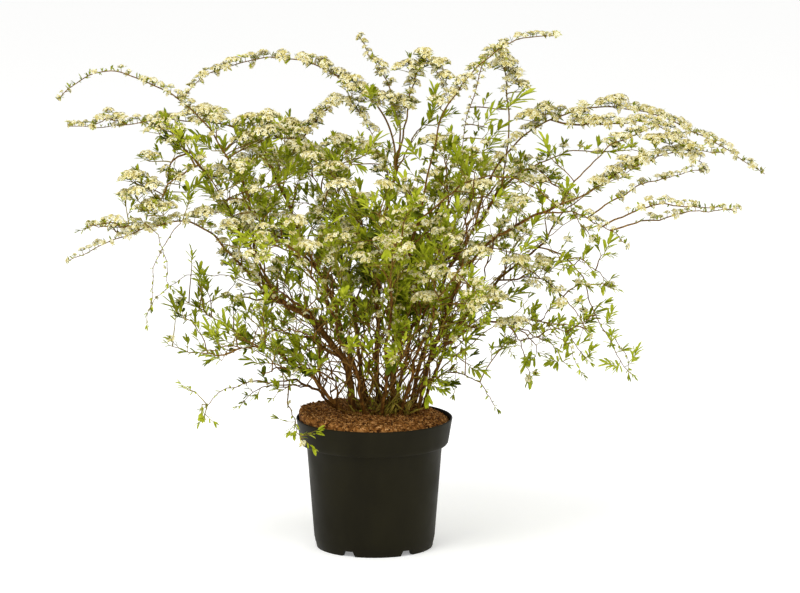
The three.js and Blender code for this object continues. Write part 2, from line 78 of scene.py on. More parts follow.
class Side(Enum):
    """The part of the crown that a spray belongs to, by the cane that carries it."""

    LEFT = "left"
    CENTRE = "centre"
    RIGHT = "right"
    FRONT = "front"
    BACK = "back"


class Kind(Enum):
    """What a joined piece is made of."""

    TWIG = "twigs"
    SHOOT = "green_shoots"
    YOUNG = "young_leaves"
    SUMMER = "summer_leaves"
    # Darker copies of the leaves, put inside and low in the crown: painted shade.
    SHADE = "shaded_leaves"
    PETAL = "petals"
    EYE = "flower_eyes"


# ---- Named sizes of the plant, in millimetres ----

# How far a stem keeps to its pitch at each end, as shares of its reach.
BOW: Pair = (0.42, 0.42)
TIGHT_BOW: Pair = (0.36, 0.36)

# The seeds of the draws, one for each cane, limb, spray and carrier of boughs, and one for each kind
# of thin growth.
CANE_SEEDS = range(900, 2000, 13)
LIMB_SEEDS = range(4001, 6000, 37)
SPRAY_SEEDS = range(101, 1000, 17)
BOUGH_SEEDS = range(3001, 6000, 31)
YOUNG_SEED, WEAVE_SEED, SUCKER_SEED, HEAD_SEED = 7001, 6007, 8101, 9203

# The turn from one leaf or twig to the next round its stem, in degrees.
GOLDEN_TURN = 137.5
SOIL_LEVEL = 244.0


@dataclass(frozen=True)
class CaneSize:
    """A cane: its reach, its pitch and radius at both ends, and its foot or the cane it leaves."""

    tip: Triple
    pitch: Pair
    radius: Pair
    foot: Pair | None = None
    leaves: tuple[str, float] | None = None


@dataclass(frozen=True)
class ForkSize:
    """A fork: the share of the stem where it leaves, its reach, and its pitch at both ends."""

    at: float
    tip: Triple
    pitch: Pair
    bow: Pair = BOW


@dataclass(frozen=True)
class SpraySize:
    """A spray: its cane and the share where it leaves, its reach, its pitches, habit and forks.

    bare is the first share of it that carries nothing, fullness sizes its clusters, density thins
    them out, crest is the share of the stem where they are largest, and stout thickens its wood.
    """

    cane: str
    at: float
    tip: Triple
    pitch: Pair
    habit: Habit
    bow: Pair = BOW
    forks: tuple[ForkSize, ...] = ()
    tone: Kind = Kind.SUMMER
    bare: float = 0.03
    fullness: float = 1.0
    density: float = 1.0
    crest: float | None = None
    stout: float = 1.0


@dataclass(frozen=True)
class HabitRule:
    """Spacing and length of side twigs, the bare share, how they lean, and how many bloom."""

    spacing: float
    twig: float
    bare: float
    forward: float
    up: float
    bloom: float


@dataclass(frozen=True)
class BoughSize:
    """A side bough: its radius at the root, and the spacing, length and leaf lengths of its shoots."""

    root: float
    spacing: float
    twig: float
    leaves: Pair


@dataclass(frozen=True)
class SoilRing:
    """A patch of soil that thin shoots rise from: its middle, how wide it is each way, and depth."""

    middle: Pair
    spread: Pair
    depth: float

    def foot(self, away: float, turn: float) -> Array:
        """Returns a foot at a distance in millimetres and a turn in radians, in metres."""
        x = self.middle[0] + self.spread[0] * away * math.cos(turn)
        y = self.middle[1] + self.spread[1] * away * math.sin(turn)
        return np.array([x, y, SOIL_LEVEL - self.depth]) * MM


CANES: dict[str, CaneSize] = {
    "left_main": CaneSize((-160, -60, 231), (88, 33), (6.8, 4.2), foot=(-40, 0)),
    "left_riser": CaneSize((-25, 40, 148), (60, 92), (3.6, 2.8), leaves=("left_main", 0.97)),
    "left_back": CaneSize((-162, 110, 412), (76, 64), (4.6, 2.8), foot=(-15, 32)),
    "left_low": CaneSize((-150, -70, 138), (48, 26), (4.8, 2.6), foot=(-50, -24)),
    "left_lowest": CaneSize((-92, -30, 60), (45, 0), (3.2, 2.1), foot=(-66, 22)),
    "centre_tall": CaneSize((34, 60, 442), (92, 60), (5, 3), foot=(6, 20)),
    "centre_right": CaneSize((57, -40, 368), (84, 68), (4.8, 3), foot=(32, 2)),
    "right_main": CaneSize((165, 50, 395), (77, 50), (5.4, 3), foot=(64, 18)),
    "right_long": CaneSize((250, -80, 392), (78, 20), (5, 2.8), foot=(78, -10)),
    "right_mid": CaneSize((213, -20, 308), (78, 42), (4.4, 2.6), foot=(88, 30)),
    "right_low": CaneSize((162, 20, 156), (83, 8), (4.2, 2.4), foot=(72, 50)),
    "front_left": CaneSize((-82, -125, 246), (64, 52), (4, 2.4), foot=(-16, -28)),
    "front_mid": CaneSize((16, -140, 250), (64, 56), (4, 2.4), foot=(14, -34)),
    "front_right": CaneSize((66, -121, 224), (64, 52), (4, 2.4), foot=(46, -30)),
    "back_left": CaneSize((-66, 124, 330), (70, 58), (4.2, 2.4), foot=(-12, 62)),
    "back_right": CaneSize((69, 136, 308), (66, 58), (4.2, 2.4), foot=(38, 62)),
}

# The order of the sprays is part of the rule, because it gives each its seed.
SPRAYS: dict[str, SpraySize] = {
    "far_left_arch": SpraySize(
        "left_riser", 1, (-332, -100, 204), (76, -49), Habit.GARLAND,
        bare=0.28, fullness=0.8, density=0.5, stout=1.3,
    ),
    "left_band": SpraySize(
        "left_back", 1, (-376, 40, 76), (66, 0), Habit.GARLAND, fullness=0.95, density=0.85,
        forks=(ForkSize(0.74, (-62, -30, 1), (38, -32)),),
    ),
    "left_hoop": SpraySize(
        "left_back", 0.96, (192, -72, 34), (62, -74), Habit.GARLAND, bow=(0.95, 0.9),
        fullness=1.05, density=0.8,
    ),
    "low_left_arch": SpraySize(
        "left_main", 1, (-340, -110, 71), (53, -19), Habit.GARLAND, bow=(0.64, 0.6),
        fullness=0.88, density=0.75,
        forks=(ForkSize(0.66, (-92, -50, 9), (10, -20)), ForkSize(0.7, (-78, 50, 5), (5, -22))),
    ),
    "left_spear": SpraySize(
        "left_main", 0.88, (-182, -60, 312), (58, 52), Habit.MIXED,
        forks=(ForkSize(0.78, (-92, -60, -80), (0, -45)), ForkSize(0.86, (-56, 20, -129), (-5, -70))),
    ),
    "left_bare": SpraySize("left_main", 0.81, (-186, 40, -27), (16, -34), Habit.STRING, bow=(0.6, 0.36)),
    "left_shelf": SpraySize("left_low", 1, (-134, 60, 69), (24, 14), Habit.LEAFY),
    "left_strings": SpraySize(
        "left_low", 0.94, (-108, -80, 6), (4, -12), Habit.LEAFY,
        forks=(ForkSize(0.4, (-122, 30, -2), (-24, 10)),),
    ),
    "lowest_arch": SpraySize("left_lowest", 1, (-137, -90, -25), (4, -38), Habit.STRING),
    "rim_sprig": SpraySize("left_lowest", 0.94, (28, -112, -92), (-100, -28), Habit.STRING, bow=(0.4, 0.6)),
    "top_spire": SpraySize("centre_tall", 1, (-71, 30, 221), (98, 56), Habit.GARLAND, bare=0.26),
    "top_crown": SpraySize(
        "centre_tall", 0.97, (98, -70, 127), (76, -62), Habit.GARLAND, bow=(1, 1), bare=0.34, fullness=1.1,
    ),
    "top_left_arch": SpraySize(
        "centre_tall", 0.93, (-378, 90, 126), (98, -56), Habit.GARLAND, bow=(0.5, 0.44),
        bare=0.24, fullness=1.1,
    ),
    "top_right_tuft": SpraySize("centre_tall", 0.9, (96, 50, 120), (66, 10), Habit.LEAFY),
    "upper_right_arch": SpraySize(
        "centre_right", 1, (234, -100, 327), (84, 6), Habit.GARLAND, bare=0.46, stout=1.3,
    ),
    "right_hairpin": SpraySize(
        "right_main", 1, (-70, -76, 74), (100, -82), Habit.GARLAND, bow=(2.6, 1.8),
        bare=0.3, fullness=0.9, density=0.8, crest=0.48,
    ),
    "right_long_arch": SpraySize(
        "right_main", 0.8, (528, 130, 78), (79, -38), Habit.GARLAND, bow=(0.52, 0.52), bare=0.16,
        forks=(ForkSize(0.36, (226, -110, -13), (-12, -26)),),
    ),
    "dark_arch": SpraySize(
        "centre_right", 0.95, (243, -110, 43), (42, -36), Habit.STRING, bow=(0.56, 0.5), stout=1.5,
    ),
    "right_fork_up": SpraySize(
        "right_long", 1, (174, -60, 147), (56, 18), Habit.GARLAND, bare=0.45, fullness=1.1,
    ),
    "right_heavy": SpraySize(
        "right_long", 0.96, (310, 80, 91), (22, -12), Habit.GARLAND, bare=0.22,
        forks=(ForkSize(0.72, (52, -30, -30), (-20, -52)),),
    ),
    "right_outrunner": SpraySize(
        "right_long", 0.92, (148, -70, -49), (8, -40), Habit.GARLAND, bare=0.2, fullness=0.8, density=0.6,
        forks=(
            ForkSize(0.5, (206, 50, 76), (34, 4)),
            ForkSize(0.68, (226, -70, 40), (36, -4)),
            ForkSize(0.76, (228, -10, 35), (10, 0)),
        ),
    ),
    "right_mid_spray": SpraySize("right_mid", 1, (169, 110, 116), (58, 22), Habit.MIXED),
    "right_droop": SpraySize(
        "right_mid", 0.96, (165, -80, -210), (0, -44), Habit.LEAFY, bow=(0.42, 0.52), tone=Kind.YOUNG,
        forks=(ForkSize(0.2, (76, 30, -47), (4, -34)),),
    ),
    "right_curtain": SpraySize("right_mid", 0.72, (160, -130, -79), (6, -46), Habit.MIXED, bow=(0.56, 0.7)),
    "right_strings": SpraySize(
        "right_low", 1, (48, 60, -118), (-36, -70), Habit.LEAFY, tone=Kind.YOUNG,
        forks=(ForkSize(0.1, (142, -60, -52), (24, -58)), ForkSize(0.14, (100, 70, -85), (-30, -56))),
    ),
    "right_lowest": SpraySize("right_long", 0.09, (128, -60, -16), (50, -62), Habit.STRING, bow=(0.5, 0.5)),
    "right_shelf": SpraySize(
        "right_main", 0.95, (266, 80, 68), (44, -7), Habit.MIXED,
        forks=(ForkSize(0.3, (100, -110, -116), (-16, -50)),),
    ),
    "front_left_spray": SpraySize("front_left", 1, (-102, -226, 90), (50, -22), Habit.MIXED),
    "front_left_tuft": SpraySize("front_left", 0.9, (-50, -110, -30), (28, -40), Habit.LEAFY),
    "front_mid_spray": SpraySize("front_mid", 1, (24, -246, 92), (52, -20), Habit.MIXED),
    "front_mid_tuft": SpraySize("front_mid", 0.9, (-24, -70, 176), (80, 60), Habit.LEAFY),
    "front_right_spray": SpraySize("front_right", 1, (80, -208, 14), (44, -42), Habit.MIXED),
    "front_right_tuft": SpraySize("front_right", 0.9, (10, -160, 140), (64, 22), Habit.LEAFY),
    "back_left_spray": SpraySize("back_left", 1, (-134, 216, 34), (46, -40), Habit.MIXED),
    "back_left_top": SpraySize("back_left", 0.95, (22, 234, 96), (62, -14), Habit.MIXED),
    "back_right_spray": SpraySize("back_right", 1, (70, 232, 78), (56, -18), Habit.MIXED),
    "back_right_low": SpraySize("back_right", 0.95, (164, 186, 14), (42, -36), Habit.MIXED),
    "left_back_tuft": SpraySize("left_back", 0.56, (-120, 60, 90), (40, 10), Habit.LEAFY),
    "left_main_tuft": SpraySize("left_main", 0.74, (-96, -70, 70), (60, 14), Habit.LEAFY),
    "centre_tuft": SpraySize("centre_tall", 0.6, (-76, -50, 180), (62, 70), Habit.LEAFY),
    "centre_right_tuft": SpraySize("centre_right", 0.6, (-34, -70, 150), (70, 60), Habit.LEAFY),
    "right_main_tuft": SpraySize("right_main", 0.56, (-76, 80, 150), (62, 50), Habit.LEAFY),
}

RULES: dict[Habit, HabitRule] = {
    Habit.GARLAND: HabitRule(spacing=6.4, twig=9, bare=0.03, forward=0.2, up=0.95, bloom=0.95),
    Habit.MIXED: HabitRule(spacing=13, twig=48, bare=0.05, forward=0.8, up=0.6, bloom=0.7),
    Habit.LEAFY: HabitRule(spacing=17.5, twig=52, bare=0.06, forward=0.9, up=0.45, bloom=0.12),
    Habit.STRING: HabitRule(spacing=11, twig=7, bare=0.15, forward=0.9, up=0.2, bloom=0.12),
}

# Where the broad flower heads stand.
HEADS: tuple[Triple, ...] = (
    (90, 23, 868), (65, 39, 850), (111, 19, 860), (127, 10, 836), (55, 56, 784), (116, -53, 798),
    (233, 75, 848), (255, 77, 832), (267, 76, 812), (285, 72, 758), (305, 76, 768), (360, 55, 760),
    (430, 111, 778), (447, -50, 695), (495, -40, 729), (525, -35, 732), (556, -49, 716), (-40, 60, 808),
    (-15, 60, 799), (10, 60, 793), (33, 50, 789), (-392, -130, 716), (-422, -150, 684),
    (-432, -140, 640), (-386, -150, 662), (-366, -160, 625), (257, -100, 527), (302, -60, 509),
    (216, -130, 464), (248, -100, 414), (-410, -161, 652), (-415, -148, 681), (-389, -161, 634),
    (-388, 166, 722), (-306, 157, 756), (-283, 156, 748), (-203, 149, 735), (-183, -40, 747),
    (-234, -110, 686), (-76, -120, 691), (-50, -160, 665), (22, -150, 664), (-127, -190, 610),
    (-49, -220, 587), (20, -230, 578), (51, -200, 595), (-209, -140, 652), (81, -150, 643),
    (-15, -230, 547), (133, -190, 570), (-295, -120, 612), (-339, -110, 672), (-112, -60, 700),
    (-141, 20, 706), (89, -230, 480), (186, -120, 656), (256, -120, 629), (-213, 20, 756),
    (-187, -20, 767), (-199, -60, 745), (-226, -20, 727), (-174, 40, 734), (-282, 60, 753),
)

# Where the leafy tufts stand, each with the length of its leaves.
TUFTS: tuple[tuple[Triple, float], ...] = (
    ((-333, -110, 735), 30), ((-286, -30, 720), 32), ((-324, -130, 640), 32), ((-272, -90, 640), 34),
    ((-153, -140, 682), 36), ((-305, -120, 495), 30), ((-53, -190, 600), 30), ((-33, -60, 608), 30),
    ((56, -170, 592), 32), ((-14, -20, 712), 32), ((-65, 60, 682), 27), ((81, -60, 708), 36),
    ((120, -70, 716), 34), ((148, -90, 700), 32), ((193, -60, 768), 38), ((233, -20, 792), 38),
    ((205, -40, 742), 34), ((311, -60, 712), 34), ((335, -110, 646), 32), ((256, -120, 550), 30),
    ((142, -150, 608), 30), ((-127, -200, 556), 30), ((37, -170, 410), 28), ((98, -200, 530), 32),
    ((-76, -190, 468), 30), ((-190, -150, 460), 28), ((-233, -140, 564), 30), ((-5, 20, 800), 30),
    ((45, 52, 762), 24), ((38, 54, 738), 24), ((-322, -60, 520), 22), ((-300, -90, 492), 22),
    ((-334, -40, 452), 20), ((-352, -60, 420), 20), ((-240, -130, 416), 20), ((-250, 40, 470), 24),
    ((-350, -60, 716), 28), ((-307, -40, 691), 28), ((-266, 40, 701), 30), ((-321, -110, 659), 28),
    ((-280, -60, 634), 28), ((-231, -100, 676), 30), ((-216, -130, 627), 28), ((-360, -120, 633), 26),
    ((-197, -60, 716), 28), ((-253, 20, 587), 28), ((112, -80, 352), 28), ((130, -100, 392), 28),
    ((148, -90, 424), 29), ((162, -100, 372), 27), ((118, -90, 444), 29), ((184, -90, 412), 27),
    ((138, -70, 342), 26), ((96, -100, 404), 29), ((170, -70, 448), 28), ((88, -100, 372), 27),
)

# Where the fine hanging shoots start and end.
STRINGS: tuple[tuple[Triple, Triple], ...] = (
    ((-400, -150, 610), (-360, -140, 498)), ((-336, -150, 610), (-398, -150, 438)),
    ((-219, -60, 485), (-390, -40, 443)), ((139, 20, 371), (144, 10, 280)),
    ((198, -40, 454), (241, -60, 364)), ((303, -60, 418), (364, -90, 334)),
    ((331, 40, 664), (358, 40, 592)), ((404, -60, 404), (450, -70, 334)),
)

# Sprigs low on the left and over the rim: where they start, their way and the length of their leaves.
RIM_TUFTS: tuple[tuple[Triple, Triple, float], ...] = (
    ((88, -52, 320), (0.5, -0.4, -0.6), 20), ((92, -48, 306), (0.8, -0.4, -0.3), 19),
    ((-139, -60, 238), (-0.7, -0.5, -0.5), 15), ((-131, -105, 222), (0.6, -0.5, -0.3), 16),
    ((-314, -120, 304), (-0.7, -0.3, 0.6), 13), ((-303, -118, 282), (-0.5, -0.5, -0.6), 13),
    ((-298, -116, 264), (0.3, -0.4, -0.8), 12),
)

# How the upper part of a cane is set with buds and small clusters.
BUDDED = SpraySize("", 0, (0, 0, 0), (0, 0), Habit.GARLAND, bare=0.42, fullness=0.72, density=0.3)

# The main boughs with the shares of their length between which their wood shows.
BARE_WOOD: dict[str, Pair] = {
    "right_main": (0.3, 1.0), "right_long": (0.3, 1.0), "left_main": (0.3, 1.0),
    "left_riser": (0.0, 1.0), "centre_tall": (0.75, 1.0), "left_back": (0.4, 0.9),
}

# Side boughs at the root of a garland, shoots of young canes, and leafy shoots of thin twigs.
FILL_RULE = HabitRule(spacing=24, twig=74, bare=0.02, forward=0.7, up=0.5, bloom=0.5)
YOUNG_RULE = HabitRule(spacing=25, twig=36, bare=0.0, forward=0.8, up=0.6, bloom=0.6)
TWIG_RULE = HabitRule(spacing=14, twig=20, bare=0.35, forward=0.9, up=0.5, bloom=0.0)

FULL_BOUGH = BoughSize(root=1.9, spacing=11, twig=26, leaves=(14, 25))
AIRY_BOUGH = BoughSize(root=1.4, spacing=12, twig=22, leaves=(12, 21))

# The clusters of flowers that are copied over the plant: number of flowers and radius.
UMBEL_SIZES: tuple[tuple[int, float], ...] = ((11, 7.8), (14, 9.2), (18, 10.6), (22, 11.8), (25, 13.0))

YOUNG_RING = SoilRing(middle=(12, 12), spread=(1.1, 0.8), depth=4)
SUCKER_RING = SoilRing(middle=(14, 4), spread=(1.0, 0.75), depth=3)
STUB_RING = SoilRing(middle=(22, 8), spread=(1.0, 0.8), depth=3)


# ---- Parts of the crown, in metres ----


@dataclass(frozen=True)
class Window:
    """A part of the crown as seen from the front, by its bounds across and in height."""

    left: float = -math.inf
    right: float = math.inf
    low: float = -math.inf
    high: float = math.inf

    def holds(self, place: Array) -> bool:
        """Returns whether a place lies in it."""
        return bool(self.left < place[0] < self.right and self.low < place[2] < self.high)


# Open air that only garlands and strings reach into.
OPEN_AIR = (
    Window(left=-0.12, low=0.665), Window(left=0.3, low=0.53), Window(right=-0.31, low=0.47, high=0.61),
)
# The inside of the crown, which the roots of the garlands help to fill.
INSIDE = Window(left=-0.33, right=0.2, high=0.67)
# Low among the canes, where there is only wood.
CANE_FOOT = Window(left=-0.09, right=0.086, high=0.372)
# Either side of the middle, where leaves before the canes are fewer.
BESIDE_MIDDLE = (Window(right=-0.1, low=0.38), Window(left=0.06, low=0.38))
# Low on the left, where the leaves are fewer and less young.
LOW_LEFT = Window(right=-0.11, high=0.5)


def in_open(place: Array) -> bool:
    """Returns whether a place lies in open air."""
    return any(window.holds(place) for window in OPEN_AIR)


def in_front(place: Array) -> bool:
    """Returns whether a place lies before the canes on either side of the middle of the crown."""
    return bool(place[1] < -0.05) and any(window.holds(place) for window in BESIDE_MIDDLE)


def side_of(cane: str) -> Side:
    """Returns the part of the crown that a cane's name begins with."""
    return Side(cane.split("_")[0])


def side_at(way: Array) -> Side:
    """Returns the part of the crown in a level direction."""
    if abs(way[0]) > abs(way[1]):
        return Side.RIGHT if way[0] > 0 else Side.LEFT
    return Side.BACK if way[1] > 0 else Side.FRONT


# ---- Small helpers ----


class Draws:
    """Seeded draws between 0 and 1, by the same rule as the solids."""

    FACTOR = 48271
    MODULUS = 2147483647

    def __init__(self, seed: int) -> None:
        """Args: seed: the first state, a whole number above 0."""
        self.state = seed

    def __call__(self) -> float:
        """Returns the next draw."""
        self.state = self.state * self.FACTOR % self.MODULUS
        return self.state / self.MODULUS

    def between(self, low: float, high: float) -> float:
        """Returns the next draw, spread from low to high."""
        return low + (high - low) * self()

    def turn(self) -> float:
        """Returns the next draw as a turn, in radians."""
        return math.tau * self()

    def many(self, count: int) -> Array:
        """Returns the next draws as an array of count numbers."""
        return np.array([self() for _ in range(count)])


def unit(vector: Array) -> Array:
    """Returns the vector, or each row of an array of vectors, at length 1."""
    return vector / np.maximum(np.linalg.norm(vector, axis=-1, keepdims=True), 1e-9)


def beside(way: Array) -> Array:
    """Returns the level direction square to a way."""
    return unit(np.array([-way[1], way[0], 1e-5]))


def around(way: Array, turn: float) -> Array:
    """Returns the direction square to a way that lies at a turn round it, in radians."""
    side = beside(way)
    return side * math.cos(turn) - np.cross(way, side) * math.sin(turn)


def turned(across: Array, over: Array, turn: Array) -> Array:
    """Returns a row for each turn, in radians, from one axis towards another."""
    return across * np.cos(turn)[:, None] + over * np.sin(turn)[:, None]


def spread_out(way: Array, width: float, draw: Draws) -> Array:
    """Returns three directions about one, one per row."""
    return unit(way + (draw.many(9).reshape(3, 3) - 0.5) * width)


def frames_along(direction: Array, roll: Array) -> Axes:
    """Axes of flat things that point along directions and face mostly up.

    Args:
        direction: unit directions, one per row.
        roll: turn of each about its direction, in radians.

    Returns:
        The across, along and facing axes, one row each.
    """
    level = np.stack([-direction[:, 1], direction[:, 0], np.full(len(direction), 1e-4)], axis=1)
    across = -unit(level)
    across = turned(across, np.cross(across, direction), roll)
    return across, direction, np.cross(across, direction)


# ---- Limbs ----


@dataclass
class Limb:
    """A tapering limb: points along its middle at even steps, and its radius at both ends."""

    points: Array
    radius: Pair
    side: Array
    flare: float = 0.0
    taper: float = 1.0

    CURVE_POINTS = 161
    FLARE_HEIGHT = 0.014
    WAVES = (2.3, 5.1, 9.7)

    @classmethod
    def arch(
        cls, start: Array, tip: Triple | Array, pitch: Pair, radius: Pair, step: float, bow: Pair = BOW
    ) -> "Limb":
        """An arching limb that sets off at one pitch and arrives at another.

        Args:
            start: where it begins, in metres.
            tip: its reach from there, in millimetres.
            pitch: degrees above level at its start and end.
            radius: its radius at start and end, in millimetres.
            step: length of its straight pieces, in metres.
            bow: how far it keeps to each pitch, as shares of its reach.

        Returns:
            The limb.
        """
        reach = np.array(tip, dtype=float) * MM
        size = float(np.linalg.norm(reach))
        heading = unit(np.array([reach[0], reach[1], 0.0]))
        handles = []
        for angle, share in zip(np.radians(pitch), bow):
            handle = heading * math.cos(angle) + UP * math.sin(angle)
            handles.append(handle * size * share)
        end = start + reach
        t = np.linspace(0.0, 1.0, cls.CURVE_POINTS)[:, None]
        curve = (
            start * (1 - t) ** 3
            + (start + handles[0]) * 3 * t * (1 - t) ** 2
            + (end - handles[1]) * 3 * t**2 * (1 - t)
            + end * t**3
        )
        travelled = np.concatenate([[0.0], np.cumsum(np.linalg.norm(np.diff(curve, axis=0), axis=1))])
        count = max(4, round(travelled[-1] / step)) + 1
        even = np.linspace(0.0, travelled[-1], count)
        points = np.stack([np.interp(even, travelled, curve[:, axis]) for axis in range(3)], axis=1)
        side = np.array([-heading[1], heading[0], 0.0])
        return cls(points, (radius[0] * MM, radius[1] * MM), side)

    @classmethod
    def towards(
        cls, start: Array, way: Array, reach: Array, bend: Pair, radius: Pair, step: float, bow: Pair = BOW
    ) -> "Limb":
        """An arching limb that sets off above the pitch of its way and ends above or below it.

        Args:
            start: where it begins, in metres.
            way: the unit direction of its reach.
            reach: its reach from there, in millimetres.
            bend: degrees above the pitch of its way at its start and end.
            radius: its radius at start and end, in millimetres.
            step: length of its straight pieces, in metres.
            bow: how far it keeps to each pitch, as shares of its reach.

        Returns:
            The limb.
        """
        pitch = math.degrees(math.asin(max(-1.0, min(1.0, float(way[2])))))
        return cls.arch(start, reach, (pitch + bend[0], pitch + bend[1]), radius, step, bow)

    @property
    def length(self) -> float:
        """The length along its middle, in metres."""
        return float(np.linalg.norm(np.diff(self.points, axis=0), axis=1).sum())

    def place(self, share: float) -> tuple[Array, Array]:
        """Returns the middle and the heading at a share of the length."""
        at = min(max(share, 0.0), 1.0) * (len(self.points) - 1)
        piece = min(int(at), len(self.points) - 2)
        a, b = self.points[piece], self.points[piece + 1]
        return a + (b - a) * (at - piece), unit(b - a)

    def radii(self) -> Array:
        """Returns the radius at each point, with the flare of a cane's foot."""
        share = np.linspace(0.0, 1.0, len(self.points))
        flare = 1 + self.flare * np.exp(-share * self.length / self.FLARE_HEIGHT)
        return (self.radius[1] + (self.radius[0] - self.radius[1]) * (1 - share) ** self.taper) * flare

    def radius_at(self, share: float) -> float:
        """Returns the radius at a share of the length, without the flare."""
        return self.radius[0] + (self.radius[1] - self.radius[0]) * share

    def wander(self, draw: Draws, amount: float) -> None:
        """Lets the limb stray from its smooth path by a few waves, none at its root.

        Args:
            draw: the seeded draws.
            amount: the widest straying, in metres.
        """
        share = np.linspace(0.0, 1.0, len(self.points))
        up = np.cross(self.side, unit(np.gradient(self.points, axis=0)))
        for axis in (np.broadcast_to(self.side, self.points.shape), up):
            for wave in self.WAVES:
                turn = math.tau * (wave * (0.8 + 0.4 * draw()) * share + draw())
                size = amount / wave * 1.6 * np.minimum(1.0, 4 * share)
                self.points = self.points + axis * (size * (np.sin(turn) - math.sin(turn[0])))[:, None]


# ---- Joined pieces from arrays ----


@dataclass(frozen=True)
class Template:
    """A small shape of a few triangles, which is modelled once and copied many times."""

    points: Array
    faces: Array

    def copied(self, origins: Array, axes: Axes) -> "Template":
        """Returns one template that holds a copy at each origin, on axes that also carry its size."""
        pile = Pile()
        pile.add_copies(self, origins, axes)
        return pile.as_template()


class Pile:
    """Many small shapes that end as one mesh."""

    def __init__(self) -> None:
        """Starts an empty pile."""
        self.points: list[Array] = []
        self.faces: list[Array] = []
        self.count = 0

    def add_shape(self, points: Array, faces: Array) -> None:
        """Adds one shape by its points and its triangles."""
        self.points.append(points)
        self.faces.append(faces + self.count)
        self.count += len(points)

    def add_copies(self, template: Template, origins: Array, axes: Axes) -> None:
        """Adds a copy of a template at each origin, on axes that also carry its size."""
        x, y, z = (axis[:, None, :] for axis in axes)
        p = template.points[None, :, :]
        points = origins[:, None, :] + p[..., :1] * x + p[..., 1:2] * y + p[..., 2:] * z
        step = np.arange(len(origins))[:, None, None] * len(template.points)
        self.add_shape(points.reshape(-1, 3), (template.faces[None] + step).reshape(-1, 3))

    def add_tube(self, points: Array, radii: Array, sides: int, side: Array) -> None:
        """Adds a closed tube round a path that keeps to a plane.

        Args:
            points: the middle of each ring.
            radii: the radius of each ring.
            sides: corners of a ring.
            side: a direction square to the plane of the path.
        """
        rings = len(points)
        along = unit(np.gradient(points, axis=0))
        across = unit(side - along * (along @ side)[:, None])
        over = np.cross(along, across)
        turn = np.arange(sides) * math.tau / sides
        ring = across[:, None] * np.cos(turn)[None, :, None] + over[:, None] * np.sin(turn)[None, :, None]
        body = (points[:, None] + ring * radii[:, None, None]).reshape(-1, 3)
        a = (np.arange(rings - 1)[:, None] * sides + np.arange(sides)[None]).ravel()
        b = (np.arange(rings - 1)[:, None] * sides + (np.arange(sides)[None] + 1) % sides).ravel()
        walls = np.concatenate([np.stack([a, b, b + sides], 1), np.stack([a, b + sides, a + sides], 1)])
        fan = np.arange(1, sides - 1)
        root = np.stack([np.zeros_like(fan), fan + 1, fan], axis=1)
        last = (rings - 1) * sides
        end = np.stack([np.full_like(fan, last), last + fan, last + fan + 1], axis=1)
        self.add_shape(body, np.concatenate([walls, root, end]))

    def as_template(self) -> Template:
        """Joins the pile into one template."""
        return Template(np.concatenate(self.points), np.concatenate(self.faces))

    def build(self, name: str) -> Piece:
        """Joins the pile into one mesh object at the origin."""
        points = np.concatenate(self.points).astype(np.float32)
        faces = np.concatenate(self.faces).astype(np.int32)
        mesh = bpy.data.meshes.new(name)
        mesh.vertices.add(len(points))
        mesh.vertices.foreach_set("co", points.ravel())
        mesh.loops.add(faces.size)
        mesh.loops.foreach_set("vertex_index", faces.ravel())
        mesh.polygons.add(len(faces))
        mesh.polygons.foreach_set("loop_start", np.arange(len(faces), dtype=np.int32) * 3)
        mesh.polygons.foreach_set("loop_total", np.full(len(faces), 3, dtype=np.int32))
        mesh.update(calc_edges=True)
        mesh.validate()
        piece = bpy.data.objects.new(name, mesh)
        bpy.context.scene.collection.objects.link(piece)
        return piece


# ---- Finishes ----


